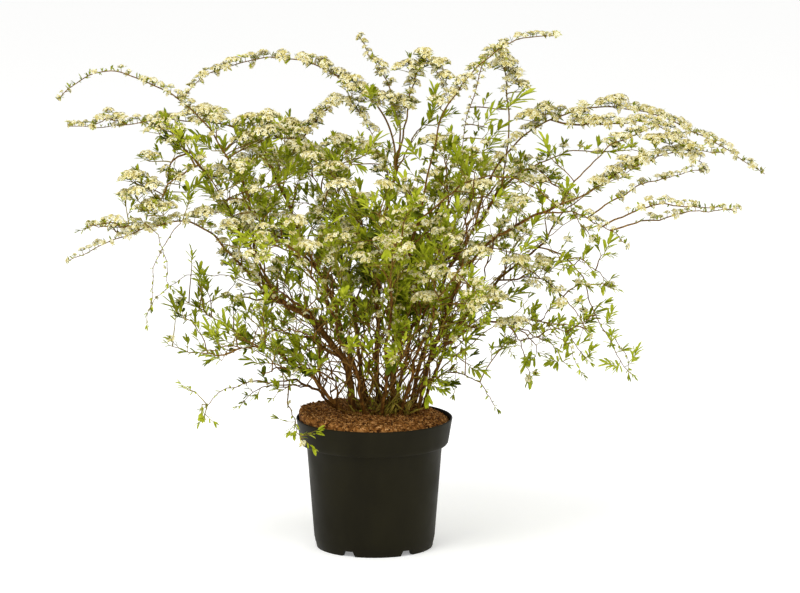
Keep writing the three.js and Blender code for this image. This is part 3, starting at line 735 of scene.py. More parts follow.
@dataclass
class NodeDesk:
    """A material with its shader, and short ways to add the nodes of a pattern."""

    name: str

    def __post_init__(self) -> None:
        """Makes the material and reads its object coordinates."""
        self.material = bpy.data.materials.new(self.name)
        self.material.use_nodes = True
        self.tree = self.material.node_tree
        self.shader = self.tree.nodes["Principled BSDF"]
        self.place = self.tree.nodes.new("ShaderNodeTexCoord").outputs["Object"]

    def add(self, kind: str, values: dict[str, float | Triple], links: dict[str, Socket]) -> bpy.types.Node:
        """Adds a node with some of its inputs set and others linked."""
        node = self.tree.nodes.new(kind)
        for name, value in values.items():
            node.inputs[name].default_value = value
        for name, socket in links.items():
            self.tree.links.new(socket, node.inputs[name])
        return node

    def drive(self, name: str, socket: Socket) -> None:
        """Links a socket to an input of the shader."""
        self.tree.links.new(socket, self.shader.inputs[name])

    def stretched(self, rise: float) -> Socket:
        """Returns the object coordinates, with those along Z scaled."""
        node = self.add("ShaderNodeMapping", {"Scale": (1.0, 1.0, rise)}, {"Vector": self.place})
        return node.outputs["Vector"]

    def noise(self, scale: float, detail: float = 2.0, place: Socket | None = None) -> Socket:
        """Returns noise of a scale per metre, on the object coordinates or on a stretched place."""
        values = {"Scale": scale, "Detail": detail}
        return self.add("ShaderNodeTexNoise", values, {"Vector": place or self.place}).outputs["Fac"]

    def cells(self, scale: float) -> Socket:
        """Returns a plain tone for each cell of a cell pattern, for grains that differ in colour."""
        node = self.add("ShaderNodeTexVoronoi", {"Scale": scale}, {"Vector": self.place})
        return self.add("ShaderNodeSeparateColor", {}, {"Color": node.outputs["Color"]}).outputs["Red"]

    def colours(self, factor: Socket, stops: Sequence[tuple[float, Colour]]) -> None:
        """Colours the surface by a ramp over a factor."""
        node = self.add("ShaderNodeValToRGB", {}, {"Fac": factor})
        ramp = node.color_ramp
        while len(ramp.elements) < len(stops):
            ramp.elements.new(0.5)
        for element, (at, colour) in zip(ramp.elements, stops):
            element.position = at
            element.color = (*colour, 1.0)
        self.drive("Base Color", node.outputs["Color"])

    def roughness(self, factor: Socket, low: float, high: float) -> None:
        """Spreads the roughness from low to high over a factor."""
        values = {"From Min": 0.3, "From Max": 0.7, "To Min": low, "To Max": high}
        self.drive("Roughness", self.add("ShaderNodeMapRange", values, {"Value": factor}).outputs["Result"])

    def bump(self, height: Socket, depth: float, strength: float) -> None:
        """Raises a bump of a depth in metres over a height."""
        values = {"Strength": strength, "Distance": depth}
        self.drive("Normal", self.add("ShaderNodeBump", values, {"Height": height}).outputs["Normal"])

    def finished(self, gloss: float, roughness: float | None = None) -> Material:
        """Sets the gloss, and the roughness where it is even, and returns the material."""
        self.shader.inputs["Specular IOR Level"].default_value = gloss
        if roughness is not None:
            self.shader.inputs["Roughness"].default_value = roughness
        return self.material


@dataclass(frozen=True)
class LeafFinish:
    """A leaf: two greens that drift over the plant, softly satin, with fine veins as bump."""

    name: str
    deep: Colour
    light: Colour

    def material(self) -> Material:
        """Returns the material."""
        desk = NodeDesk(self.name)
        desk.colours(desk.noise(55.0, detail=3.0), [(0.32, self.deep), (0.68, self.light)])
        desk.bump(desk.noise(900.0), depth=0.0002, strength=0.4)
        return desk.finished(gloss=0.1, roughness=0.55)


@dataclass(frozen=True)
class PetalFinish:
    """A petal or a flower's eye: matte, with a faint drift of tint from flower to flower."""

    name: str
    shade: Colour
    tint: Colour

    def material(self) -> Material:
        """Returns the material."""
        desk = NodeDesk(self.name)
        dim = (self.shade[0] * 0.74, self.shade[1] * 0.7, self.shade[2] * 0.45)
        desk.colours(desk.noise(140.0), [(0.33, dim), (0.46, self.shade), (0.6, self.tint)])
        desk.bump(desk.noise(1500.0, detail=1.0), depth=0.0001, strength=0.3)
        return desk.finished(gloss=0.12, roughness=0.7)


@dataclass(frozen=True)
class BarkFinish:
    """Bark in three browns, with grain that runs up the cane, and rough fibres."""

    name: str
    dark: Colour
    middle: Colour
    light: Colour
    grain: float = 260.0

    def material(self) -> Material:
        """Returns the material."""
        desk = NodeDesk(self.name)
        grain = desk.noise(self.grain, 4.0, desk.stretched(0.22))
        desk.colours(grain, [(0.3, self.dark), (0.5, self.middle), (0.72, self.light)])
        desk.roughness(desk.noise(90.0), low=0.62, high=0.85)
        fibres = desk.noise(self.grain * 2.4, 3.0, desk.stretched(0.3))
        desk.bump(fibres, depth=0.0006, strength=0.6)
        return desk.finished(gloss=0.12)


@dataclass(frozen=True)
class PlasticFinish:
    """Moulded near-black plastic: satin, with faint flow marks, scuffs and a fine grain."""

    name: str
    base: Colour
    worn: Colour

    def material(self) -> Material:
        """Returns the material."""
        desk = NodeDesk(self.name)
        marks = desk.noise(14.0, 5.0, desk.stretched(0.4))
        desk.colours(marks, [(0.38, self.base), (0.72, self.worn)])
        desk.roughness(desk.noise(26.0, detail=4.0), low=0.42, high=0.58)
        desk.bump(desk.noise(1400.0), depth=0.00012, strength=0.25)
        return desk.finished(gloss=0.06)


@dataclass(frozen=True)
class MulchFinish:
    """Bark mulch: grains of several browns, rough, with crumbs as bump."""

    name: str
    browns: tuple[Colour, Colour, Colour, Colour]

    def material(self) -> Material:
        """Returns the material."""
        desk = NodeDesk(self.name)
        at = (0.0, 0.35, 0.7, 1.0)
        desk.colours(desk.cells(260.0), list(zip(at, self.browns)))
        desk.bump(desk.noise(700.0, detail=4.0), depth=0.0009, strength=0.8)
        return desk.finished(gloss=0.12, roughness=0.9)


@dataclass(frozen=True)
class FloorFinish:
    """A plain pale studio floor."""

    name: str
    pale: Colour
    glow: float = 0.27

    def material(self) -> Material:
        """Returns the material."""
        desk = NodeDesk(self.name)
        desk.shader.inputs["Base Color"].default_value = (*self.pale, 1.0)
        desk.shader.inputs["Emission Color"].default_value = (1.0, 1.0, 1.0, 1.0)
        desk.shader.inputs["Emission Strength"].default_value = self.glow
        return desk.finished(gloss=0.1, roughness=0.9)


# ---- Work at the bench ----

DRUM_SIDES = 96


def deselect() -> None:
    """Deselects everything and leaves no active object."""
    for item in list(bpy.context.selected_objects):
        item.select_set(False)
    bpy.context.view_layer.objects.active = None


def take(piece: Piece) -> None:
    """Makes one object the only selected one, and the active one."""
    deselect()
    piece.select_set(True)
    bpy.context.view_layer.objects.active = piece


def apply_modifiers(piece: Piece) -> None:
    """Applies every modifier of a piece, first to last."""
    take(piece)
    for name in [modifier.name for modifier in piece.modifiers]:
        bpy.ops.object.modifier_apply(modifier=name)


def select_faces(piece: Piece, test: Callable[[Array, Array], bool]) -> None:
    """Selects, in edit mode, the faces whose middle and normal pass a test."""
    bpy.ops.mesh.select_all(action="DESELECT")
    mesh = bmesh.from_edit_mesh(piece.data)
    for face in mesh.faces:
        face.select_set(bool(test(np.array(face.calc_center_median()), np.array(face.normal))))
    mesh.select_flush_mode()
    bmesh.update_edit_mesh(piece.data)


def looks_up(_: Array, normal: Array) -> bool:
    """Returns whether a face looks up, by its middle and normal."""
    return normal[2] > 0.9


def raise_faces(height: float) -> None:
    """Extrudes the selected faces straight up by a height in millimetres."""
    bpy.ops.mesh.extrude_region_move(TRANSFORM_OT_translate={"value": (0, 0, height * MM)})


def start_drum(name: str, radius: float, low: float, high: float) -> Piece:
    """Starts a piece as an upright drum, in edit mode with its top face selected.

    Args:
        name: the name of the piece.
        radius: the radius of the drum, in millimetres.
        low: the height of its underside, in millimetres.
        high: the height of its top, in millimetres.

    Returns:
        The piece.
    """
    deselect()
    depth = high - low
    bpy.ops.mesh.primitive_cylinder_add(
        vertices=DRUM_SIDES, radius=radius * MM, depth=depth * MM, location=(0, 0, (low + depth / 2) * MM)
    )
    drum = bpy.context.object
    drum.name = drum.data.name = name
    bpy.ops.object.transform_apply(location=True, rotation=True, scale=True)
    bpy.ops.object.mode_set(mode="EDIT")
    bpy.ops.mesh.select_mode(type="FACE")
    select_faces(drum, looks_up)
    return drum


def follow_profile(radius: float, level: float, profile: Sequence[Pair]) -> None:
    """Extrudes the selected top face of a drum along a profile.

    Args:
        radius: its radius so far, in millimetres.
        level: its height so far, in millimetres.
        profile: the radius and height at each point that it passes, in millimetres.
    """
    for new_radius, new_level in profile:
        if new_level != level:
            raise_faces(new_level - level)
        size = new_radius / radius
        bpy.ops.transform.resize(value=(size, size, 1), center_override=(0, 0, new_level * MM))
        radius, level = new_radius, new_level


def hand_over(piece: Piece, material: Material, nodes: Sequence[str], smooth: bool) -> None:
    """Dresses a finished piece and ties it to the frame.

    Args:
        piece: the finished object, at the origin.
        material: its finish.
        nodes: the nodes that it stands for.
        smooth: whether its faces are shaded smooth.
    """
    mesh = piece.data
    mesh.materials.clear()
    mesh.materials.append(material)
    mesh.polygons.foreach_set("material_index", np.zeros(len(mesh.polygons), dtype=np.int32))
    if smooth:
        mesh.polygons.foreach_set("use_smooth", np.ones(len(mesh.polygons), dtype=bool))
    mesh.update()
    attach(piece, "root")
    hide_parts(*nodes)
    LOG.info("%s: %d faces, stands for %d nodes", piece.name, len(mesh.polygons), len(nodes))


# ---- Pot and mulch ----


@dataclass
class NurseryPot:
    """A round nursery pot: notched foot, plain tapering wall and a wide band below the rim."""

    foot_radius: float = 104.5
    foot_wall: float = 9.0
    chamfer: float = 20.0
    chamfer_radius: float = 108.5
    floor_height: float = 10.0
    pad_radius: float = 22.0
    notch_width: float = 26.0
    notch_top: float = 18.0
    notch_height: float = 9.5
    notch_depth: float = 27.0
    notches: int = 6
    first_turn: float = -26.0
    edge_width: float = 0.8
    edge_angle: float = 28.0
    smooth_angle: float = 32.0
    outside: tuple[Pair, ...] = (
        (115.0, 103.0), (121.5, 186.6), (130.0, 187.4), (132.4, 190.4), (133.5, 196.0), (139.2, 230.0),
        (140.0, 233.4), (139.5, 234.7), (138.4, 235.0), (137.6, 234.2),
    )
    inside: tuple[Pair, ...] = ((131.4, 196.0), (119.4, 189.1), (106.4, 22.1), (102.4, 12.4))

    def build(self, finish: PlasticFinish) -> None:
        """Models the pot and hands it over.

        Args:
            finish: the plastic it is moulded from.
        """
        pot = start_drum("nursery_pot", self.foot_radius, 0, self.chamfer)
        self.raise_wall()
        self.hollow_foot(pot)
        bpy.ops.object.mode_set(mode="OBJECT")
        self.cut_notches(pot)
        bevel = pot.modifiers.new("soft_edges", "BEVEL")
        bevel.width = self.edge_width * MM
        bevel.segments = 2
        bevel.limit_method = "ANGLE"
        bevel.angle_limit = math.radians(self.edge_angle)
        apply_modifiers(pot)
        bpy.ops.object.shade_smooth_by_angle(angle=math.radians(self.smooth_angle))
        hand_over(pot, finish.material(), ["pot"], smooth=False)

    def raise_wall(self) -> None:
        """Extrudes the top face up the outside, over the rim and down the inside."""
        profile = ((self.chamfer_radius, self.chamfer), *self.outside, *self.inside)
        follow_profile(self.foot_radius, self.chamfer, profile)

    def hollow_foot(self, pot: Piece) -> None:
        """Insets the underside to leave a foot ring and a pad in its middle."""
        select_faces(pot, lambda middle, normal: normal[2] < -0.9 and middle[2] < 0.1 * MM)
        bpy.ops.mesh.inset(thickness=self.foot_wall * MM)
        raise_faces(self.floor_height)
        bpy.ops.mesh.inset(thickness=(self.foot_radius - self.foot_wall - self.pad_radius) * MM)
        raise_faces(-self.floor_height)

    def notch_cutter(self, turn: float) -> Piece:
        """Models the block that cuts one notch and starts a millimetre below the pot.

        Args:
            turn: where it stands round the foot, in radians.

        Returns:
            The block.
        """
        deselect()
        bpy.ops.mesh.primitive_cube_add(size=1, location=(0, 0, 0))
        cutter = bpy.context.object
        bpy.ops.object.mode_set(mode="EDIT")
        bpy.ops.mesh.select_mode(type="FACE")
        bpy.ops.mesh.select_all(action="SELECT")
        size = (self.notch_width * MM, self.notch_depth * MM, (self.notch_height + 1) * MM)
        bpy.ops.transform.resize(value=size, center_override=(0, 0, 0))
        select_faces(cutter, looks_up)
        narrow = self.notch_top / self.notch_width
        bpy.ops.transform.resize(value=(narrow, 1, 1), center_override=(0, 0, 0))
        bpy.ops.object.mode_set(mode="OBJECT")
        away = (self.foot_radius - self.foot_wall / 2) * MM
        cutter.location = (away * math.sin(turn), -away * math.cos(turn), (self.notch_height - 1) / 2 * MM)
        cutter.rotation_euler = (0, 0, turn)
        bpy.ops.object.transform_apply(location=True, rotation=True, scale=True)
        return cutter

    def cut_notches(self, pot: Piece) -> None:
        """Cuts the notches through the foot ring."""
        turns = [math.radians(self.first_turn + index * 360 / self.notches) for index in range(self.notches)]
        cutters = [self.notch_cutter(turn) for turn in turns]
        take(cutters[0])
        for cutter in cutters:
            cutter.select_set(True)
        bpy.ops.object.join()
        cutter = bpy.context.object
        cut = pot.modifiers.new("notches", "BOOLEAN")
        cut.operation = "DIFFERENCE"
        cut.solver = "EXACT"
        cut.object = cutter
        apply_modifiers(pot)
        bpy.data.objects.remove(cutter, do_unlink=True)


@dataclass
class MulchFill:
    """The filling of the pot: a heaped top of bark mulch that lies higher on the left."""

    wall: tuple[Pair, ...] = ((105.9, 22.6), (118.9, 189.6), (130.9, 196.5), (135.4, 236.0))
    floor_radius: float = 101.9
    floor_level: float = 12.9
    level_radius: float = 100.0
    edge_level: float = 239.0
    edge_tilt: float = 10.5
    waves: tuple[Pair, ...] = ((0.022, 3.2), (0.07, 1.5), (0.21, 0.9))
    rings: int = 40
    chips: int = 3900
    chip_shapes: int = 6
    chip_radius: float = 134.0

    def surface(self, x: float, y: float) -> float:
        """Works out the mulch: level in the middle, and steeper the closer it comes to the wall.

        Args:
            x: the distance to the right, in millimetres.
            y: the distance to the back, in millimetres.

        Returns:
            The height there, in millimetres.
        """
        edge_radius = self.wall[-1][0]
        edge = self.edge_level - self.edge_tilt * x / edge_radius
        beyond = (math.hypot(x, y) - self.level_radius) / (edge_radius - self.level_radius)
        beyond = min(max(beyond, 0.0), 1.0)
        height = SOIL_LEVEL + (edge - SOIL_LEVEL) * beyond - 5.0 * max(0.0, beyond - 0.75) ** 2 * 16
        for scale, size in self.waves:
            height += size * noise.noise(Vector((x * scale, y * scale, scale * 50)))
        return height

    def build(self, finish: MulchFinish, chip_finish: MulchFinish) -> None:
        """Models the fill and the loose chips on it.

        Args:
            finish: the mulch between the chips.
            chip_finish: the loose chips.
        """
        fill = start_drum("mulch_fill", self.floor_radius, self.floor_level, self.wall[0][1])
        follow_profile(self.floor_radius, self.wall[0][1], self.wall)
        top_radius, top_level = self.wall[-1]
        for _ in range(self.rings):
            bpy.ops.mesh.inset(thickness=top_radius / (self.rings + 1) * MM)
        select_faces(fill, looks_up)
        bpy.ops.mesh.subdivide(number_cuts=1)
        bpy.ops.object.mode_set(mode="OBJECT")
        for vertex in fill.data.vertices:
            if vertex.co.z > (top_level - 1) * MM:
                vertex.co.z = self.surface(vertex.co.x / MM, vertex.co.y / MM) * MM
        hand_over(fill, finish.material(), ["soil"], smooth=True)
        self.scatter(chip_finish)

    def scatter(self, finish: MulchFinish) -> None:
        """Scatters loose chips over the top."""
        draws = np.random.default_rng(71)
        corners = np.array([[x, y, z] for x in (-0.5, 0.5) for y in (-0.5, 0.5) for z in (-0.5, 0.5)])
        corner_numbers = (
            (0, 1, 3), (0, 3, 2), (4, 6, 7), (4, 7, 5), (0, 4, 5), (0, 5, 1),
            (2, 3, 7), (2, 7, 6), (0, 2, 6), (0, 6, 4), (1, 5, 7), (1, 7, 3),
        )
        pile = Pile()
        count = self.chips // self.chip_shapes
        for _ in range(self.chip_shapes):
            shape = corners * (1 + 0.5 * (draws.random((8, 3)) - 0.5))
            radius = self.chip_radius * np.sqrt(draws.random(count))
            turn = math.tau * draws.random(count)
            x, y = radius * np.cos(turn), radius * np.sin(turn)
            top = np.array([self.surface(a, b) for a, b in zip(x, y)])
            origins = np.stack([x, y, top + 0.2 + 0.9 * draws.random(count)], axis=1) * MM
            along = unit(np.stack([*(draws.random((2, count)) - 0.5), 0.5 * (draws.random(count) - 0.5)], 1))
            axes = frames_along(along, draws.normal(0, 0.5, count))
            length = (1.6 + 4.2 * draws.random(count) ** 2.2) * MM
            width = (0.9 + 1.5 * draws.random(count)) * MM
            depth = (0.5 + 0.9 * draws.random(count)) * MM
            sized = (axes[0] * width[:, None], axes[1] * length[:, None], axes[2] * depth[:, None])
            pile.add_copies(Template(shape, np.array(corner_numbers)), origins, sized)
        hand_over(pile.build("mulch_chips"), finish.material(), ["soil"], smooth=False)


# ---- Leaves and flowers ----


def leaf_template(widest: float, half_width: float, fold: float, droop: float) -> Template:
    """Models a leaf of length 1 along +Y: a pointed outline folded up along its midrib, with a drooping tip.

    Args:
        widest: share of the length where it is widest.
        half_width: half its width there.
        fold: how high the edges stand over the midrib.
        droop: how low the tip hangs.

    Returns:
        The leaf.
    """
    points = [[0.0, 0.0, 0.0]]
    for at, width in ((0.55 * widest, 0.84), (widest + 0.28, 0.94)):
        sag = -droop * at * at
        points += [[side * half_width * width, at, sag + fold * abs(side)] for side in (0, -1, 1)]
    points.append([0.0, 1.0, -droop])
    faces = [[0, 1, 2], [0, 3, 1], [1, 4, 5], [1, 5, 2], [1, 3, 6], [1, 6, 4], [4, 7, 5], [4, 6, 7]]
    return Template(np.array(points), np.array(faces))


def flower_templates() -> tuple[Template, Template]:
    """Returns the five petals of a flower and its eye, facing +Z, each petal of length 1."""
    outline = np.array([[0.0, 0.1, 0.0], [0.46, 0.68, 0.12], [0.0, 1.02, 0.2], [-0.46, 0.68, 0.12]])
    fan = np.array([[0, 1, 2], [0, 2, 3]])
    turns = np.arange(5) * math.tau / 5
    petals = Pile()
    for turn in turns:
        cos, sin = math.cos(turn), math.sin(turn)
        petals.add_shape(outline @ np.array([[cos, sin, 0], [-sin, cos, 0], [0, 0, 1]]), fan)
    corners = turns[:4] * 1.25
    ring = np.stack([0.27 * np.sin(corners), 0.27 * np.cos(corners), np.full(4, 0.06)], axis=1)
    points = np.concatenate([ring, [[0.0, 0.0, 0.2]]])
    return petals.as_template(), Template(points, np.array([[4, (k + 1) % 4, k] for k in range(4)]))


def stalk_template() -> Template:
    """Returns a three-sided stalk of length 1 that starts in a point and widens along +Z."""
    points = [[0.5, 0.0, 1.0], [-0.25, 0.43, 1.0], [-0.25, -0.43, 1.0], [0.0, 0.0, 0.0]]
    return Template(np.array(points), np.array([[0, 1, 3], [1, 2, 3], [2, 0, 3]]))


@dataclass(frozen=True)
class Umbel:
    """A flat-topped cluster of small flowers, as templates of one kind each."""

    petals: Template
    eyes: Template
    stalks: Template

    PETAL_LENGTH = 0.0033
    STALK_WIDTH = 0.0008
    SINK = 0.0002

    @classmethod
    def grown(cls, count: int, radius: float) -> "Umbel":
        """Models one cluster, facing +Z from its root at the origin.

        Args:
            count: number of flowers, which also gives the seed.
            radius: radius of the cluster, in metres.

        Returns:
            The cluster.
        """
        draws = np.random.default_rng(5 + count)
        number = np.arange(count)
        share = np.sqrt((number + 0.5) / count)
        turn = np.radians(number * GOLDEN_TURN) + draws.normal(0, 0.15, count)
        out = np.stack([np.cos(turn), np.sin(turn), np.zeros(count)], axis=1)
        height = radius * (0.95 - 0.55 * share**2 + draws.normal(0, 0.06, count))
        origins = out * (radius * share * draws.normal(1, 0.05, count))[:, None] + UP * height[:, None]
        facing = unit(UP + out * (1.25 * share)[:, None] + draws.normal(0, 0.2, (count, 3)))
        x = unit(np.cross(facing, draws.normal(0, 1, (count, 3))))
        y = np.cross(facing, x)
        size = (cls.PETAL_LENGTH * draws.normal(1, 0.1, count))[:, None]
        sized = (x * size, y * size, facing * size)
        petals, eye = flower_templates()
        reach = origins - facing * cls.SINK
        x = unit(np.cross(reach, UP + 0.01))
        y = unit(np.cross(reach, x))
        thin = (x * cls.STALK_WIDTH, y * cls.STALK_WIDTH, reach)
        stalks = stalk_template().copied(np.zeros((count, 3)), thin)
        return cls(petals.copied(origins, sized), eye.copied(origins, sized), stalks)


# ---- What grows on a stem ----


@dataclass(frozen=True)
class Twig:
    """A side twig: its base and the heading of its stem there, its direction, length and place."""

    base: Array
    along: Array
    direction: Array
    length: float
    share: float
    blooms: bool


def side_twigs(stem: Limb, rule: HabitRule, draw: Draws, start: float = 0.0) -> list[Twig]:
    """Lays out the side twigs of a stem, spaced and turned by the rule.

    Args:
        stem: the stem.
        rule: its spacing, lengths and lean.
        draw: the seeded draws.
        start: the share of the stem before which there are none.

    Returns:
        The side twigs, from the root of the stem to its tip.
    """
    twigs = []
    length = stem.length
    distance = length * max(rule.bare, start) + 0.4 * rule.spacing * MM * draw()
    turn = 360 * draw()
    while distance < length:
        share = distance / length
        base, along = stem.place(share)
        direction = unit(around(along, math.radians(turn)) + along * rule.forward + rule.up * UP)
        size = rule.twig * MM * draw.between(0.6, 1.4) * (1 - 0.4 * share)
        twigs.append(Twig(base, along, direction, size, share, draw() < rule.bloom))
        distance += rule.spacing * MM * draw.between(0.7, 1.3)
        turn += GOLDEN_TURN + 30 * draw()
    return twigs


@dataclass
class Grower:
    """Grows leaves, flowers and shoots on one part of the crown, by one row of seeded draws."""

    shrub: "Shrub"
    side: Side
    draw: Draws

    UMBELS = [Umbel.grown(count, size * MM) for count, size in UMBEL_SIZES]
    NARROW = leaf_template(widest=0.46, half_width=0.13, fold=0.05, droop=0.1)
    BROAD = leaf_template(widest=0.5, half_width=0.19, fold=0.05, droop=0.12)
    OVAL = leaf_template(widest=0.5, half_width=0.165, fold=0.05, droop=0.2)
    LONG = leaf_template(widest=0.5, half_width=0.12, fold=0.05, droop=0.16)
    ASKEW = np.array([0.31, 0.87, 0.12])

    def pile(self, kind: Kind) -> Pile:
        """Returns the pile of one kind on this part of the crown."""
        return self.shrub.piles.setdefault((self.side, kind), Pile())

    def add_stem(self, stem: Limb, kind: Kind, sides: int = 4) -> None:
        """Adds the wood of a stem."""
        self.pile(kind).add_tube(stem.points, stem.radii(), sides, stem.side)

    def add_stalk(
        self, kind: Kind, base: Array, tip: Array, radii: Sequence[float], square: Array, sides: int = 3
    ) -> None:
        """Adds a straight stalk.

        Args:
            kind: what it is made of.
            base: where it starts.
            tip: where it ends.
            radii: its radius at even steps, in metres.
            square: a direction square to it.
            sides: corners of its section.
        """
        points = np.linspace(base, tip, len(radii))
        self.pile(kind).add_tube(points, np.array(radii), sides, unit(square))

    def add_leaves(self, kind: Kind, template: Template, roots: Array, ways: Array, sizes: Array) -> None:
        """Adds leaves.

        Args:
            kind: the kind of the leaves.
            template: the leaf to copy.
            roots: where each starts, one per row, or the one place where all start.
            ways: the direction of each.
            sizes: the length of each, in metres.
        """
        roll = (self.draw.many(len(ways)) - 0.5) * 1.3
        across, along, facing = frames_along(unit(ways), roll)
        size = sizes[:, None]
        roots = np.broadcast_to(roots, ways.shape)
        self.pile(kind).add_copies(template, roots, (across * size, along * size, facing * size))

    def add_umbel(self, root: Array, facing: Array, size: float) -> None:
        """Adds a cluster of flowers with a small rosette of leaves under it.

        Args:
            root: where its stalks meet.
            facing: the way it faces.
            size: its size, 1 for a full one.
        """
        draw = self.draw
        number = min(len(self.UMBELS) - 1, int(draw() * len(self.UMBELS) * min(1.0, size)))
        umbel = self.UMBELS[number]
        spin = draw.turn()
        a = unit(np.cross(facing, self.ASKEW))
        b = np.cross(facing, a)
        x, y = a * math.cos(spin) + b * math.sin(spin), b * math.cos(spin) - a * math.sin(spin)
        size = min(size, 1.16)
        axes = (x[None] * size, y[None] * size, facing[None] * size)
        self.pile(Kind.PETAL).add_copies(umbel.petals, root[None], axes)
        self.pile(Kind.EYE).add_copies(umbel.eyes, root[None], axes)
        self.pile(Kind.SHOOT).add_copies(umbel.stalks, root[None], axes)
        count = 5 + int(3 * draw())
        turn = np.arange(count) * math.tau / count + spin
        ways = turned(x, y, turn) + facing * draw.between(0.1, 0.6)
        sizes = (0.009 + 0.009 * draw.many(count)) * size
        self.add_leaves(Kind.YOUNG if draw() < 0.4 else Kind.SUMMER, self.NARROW, root, ways, sizes)

    def add_head(self, tip: Array, end: Array, sizes: Pair, lift: float = 1.0) -> None:
        """Adds a cluster of flowers at the tip of a shoot.

        Args:
            tip: the tip of the shoot.
            end: its heading there.
            sizes: the smallest and the largest size it may have.
            lift: how far it turns up from that heading.
        """
        self.add_umbel(tip, unit(end + lift * UP), self.draw.between(*sizes))

    def add_plate(self, base: Array) -> None:
        """Adds a broad flat head: several clusters side by side at one level, on stalks from one point."""
        centre = base + self.draw.between(0.009, 0.016) * UP
        count = 3 + int(3 * self.draw())
        for number in range(count):
            turn = math.radians(GOLDEN_TURN * number)
            away = 0.0105 * math.sqrt(number)
            root = centre + np.array([away * math.cos(turn), away * math.sin(turn), -14 * away * away])
            way = root - base
            self.add_stalk(Kind.SHOOT, base, root, (0.0008, 0.0006), np.cross(way, (0.3, 0.2, 0.1)))
            self.add_head(root, way, sizes=(0.95, 1.25), lift=0.05)

    def add_shoot(
        self, tone: Kind, base: Array, direction: Array, length: float, leaf: float,
        template: Template | None = None,
    ) -> tuple[Array, Array]:
        """Adds a leafy shoot that bends up to the light.

        Args:
            tone: the kind of its leaves.
            base: where it leaves its stem.
            direction: the way it sets off.
            length: its length, in metres.
            leaf: the length of its leaves, in metres.
            template: the leaf to copy, if not the usual one for its kind.

        Returns:
            The tip of the shoot and its heading there.
        """
        draw = self.draw
        template = template or (self.BROAD if tone is Kind.SHADE else self.NARROW)
        share = np.linspace(0.0, 1.0, 4)[:, None]
        level = beside(direction)
        lift = draw.between(0.05, 0.32) * UP + level * (draw() - 0.5) * 0.2
        points = base + length * (share * direction + share**2 * lift)
        square = unit(np.cross(direction, direction + lift + 1e-4))
        kind = Kind.SHOOT if length < 0.045 or tone is Kind.YOUNG else Kind.TWIG
        self.pile(kind).add_tube(points, np.linspace(0.0008, 0.0004, 4), 3, square)
        count = max(3, int(length / 0.0092))
        at = 0.12 + 0.88 * (np.arange(count) + draw.many(count) * 0.6) / count
        at = np.minimum(at, 1.0)[:, None]
        roots = base + length * (at * direction + at**2 * lift)
        heading = unit(direction + 2 * at * lift)
        turn = np.radians(GOLDEN_TURN) * np.arange(count) + draw.turn()
        across = unit(np.cross(heading, level + 1e-4))
        over = np.cross(across, heading)
        out = turned(across, over, turn) * (1.15 - 0.75 * at)
        sizes = leaf * (0.62 + 0.5 * draw.many(count)) * (0.8 + 0.25 * at[:, 0])
        self.add_leaves(tone, template, roots, heading + out, sizes)
        tip, end = base + length * (direction + lift), unit(direction + 2 * lift)
        tuft = 3 + int(3 * draw())
        out = turned(across[-1], over[-1], np.arange(tuft) * 2.4 + 6 * draw()) * 0.35
        self.add_leaves(tone, template, tip, end + out, leaf * (0.75 + 0.5 * draw.many(tuft)))
        return tip, end

    def shoot_from(self, tone: Kind, twig: Twig, leaf: float, part: float = 1.0) -> tuple[Array, Array]:
        """Adds a leafy shoot for a side twig, or for a part of its length.

        Args:
            tone: the kind of its leaves.
            twig: the side twig.
            leaf: the length of its leaves, in metres.
            part: its length as a part of the twig's.

        Returns:
            The tip of the shoot and its heading there.
        """
        return self.add_shoot(tone, twig.base, twig.direction, twig.length * part, leaf)

    def add_tuft(self, tone: Kind, base: Array, heading: Array, leaf: float) -> None:
        """Adds an upright tuft of long narrow leaves.

        Args:
            tone: the kind of its leaves.
            base: where it starts.
            heading: the way it faces.
            leaf: the length of its longest leaves, in metres.
        """
        draw = self.draw
        heading = unit(heading + 0.9 * UP)
        across = unit(np.cross(heading, self.ASKEW))
        over = np.cross(across, heading)
        count = 8 + int(6 * draw())
        at = (np.arange(count)[:, None] + 0.5) / count
        turn = np.radians(GOLDEN_TURN) * np.arange(count) + 6 * draw()
        ways = heading + turned(across, over, turn) * (1.0 - 0.72 * at)
        stalk = 0.9 * leaf
        points = np.linspace(base, base + heading * stalk, 3)
        self.pile(Kind.SHOOT).add_tube(points, np.array([0.0008, 0.0007, 0.0005]), 3, across)
        sizes = leaf * (0.72 + 0.28 * at[:, 0]) * (0.85 + 0.3 * draw.many(count))
        self.add_leaves(tone, self.LONG, base + heading * (stalk * at), ways, sizes)

    # How a stem is dressed

    def dress(self, size: SpraySize, stem: Limb) -> None:
        """Dresses a stem by the habit of its spray."""
        habits = {
            Habit.GARLAND: self.dress_garland,
            Habit.MIXED: self.dress_mixed,
            Habit.LEAFY: self.dress_leafy,
            Habit.STRING: self.dress_string,
        }
        habits[size.habit](size, stem)

    def fill_garland(self, stem: Limb) -> None:
        """Side boughs on the part of a garland's stem that lies inside the crown."""
        for twig in side_twigs(stem, FILL_RULE, self.draw):
            if twig.share < 0.32 and INSIDE.holds(twig.base):
                self.add_bough(twig, part=1.0, bloom=0.5, tones=(0.15, 0.3))

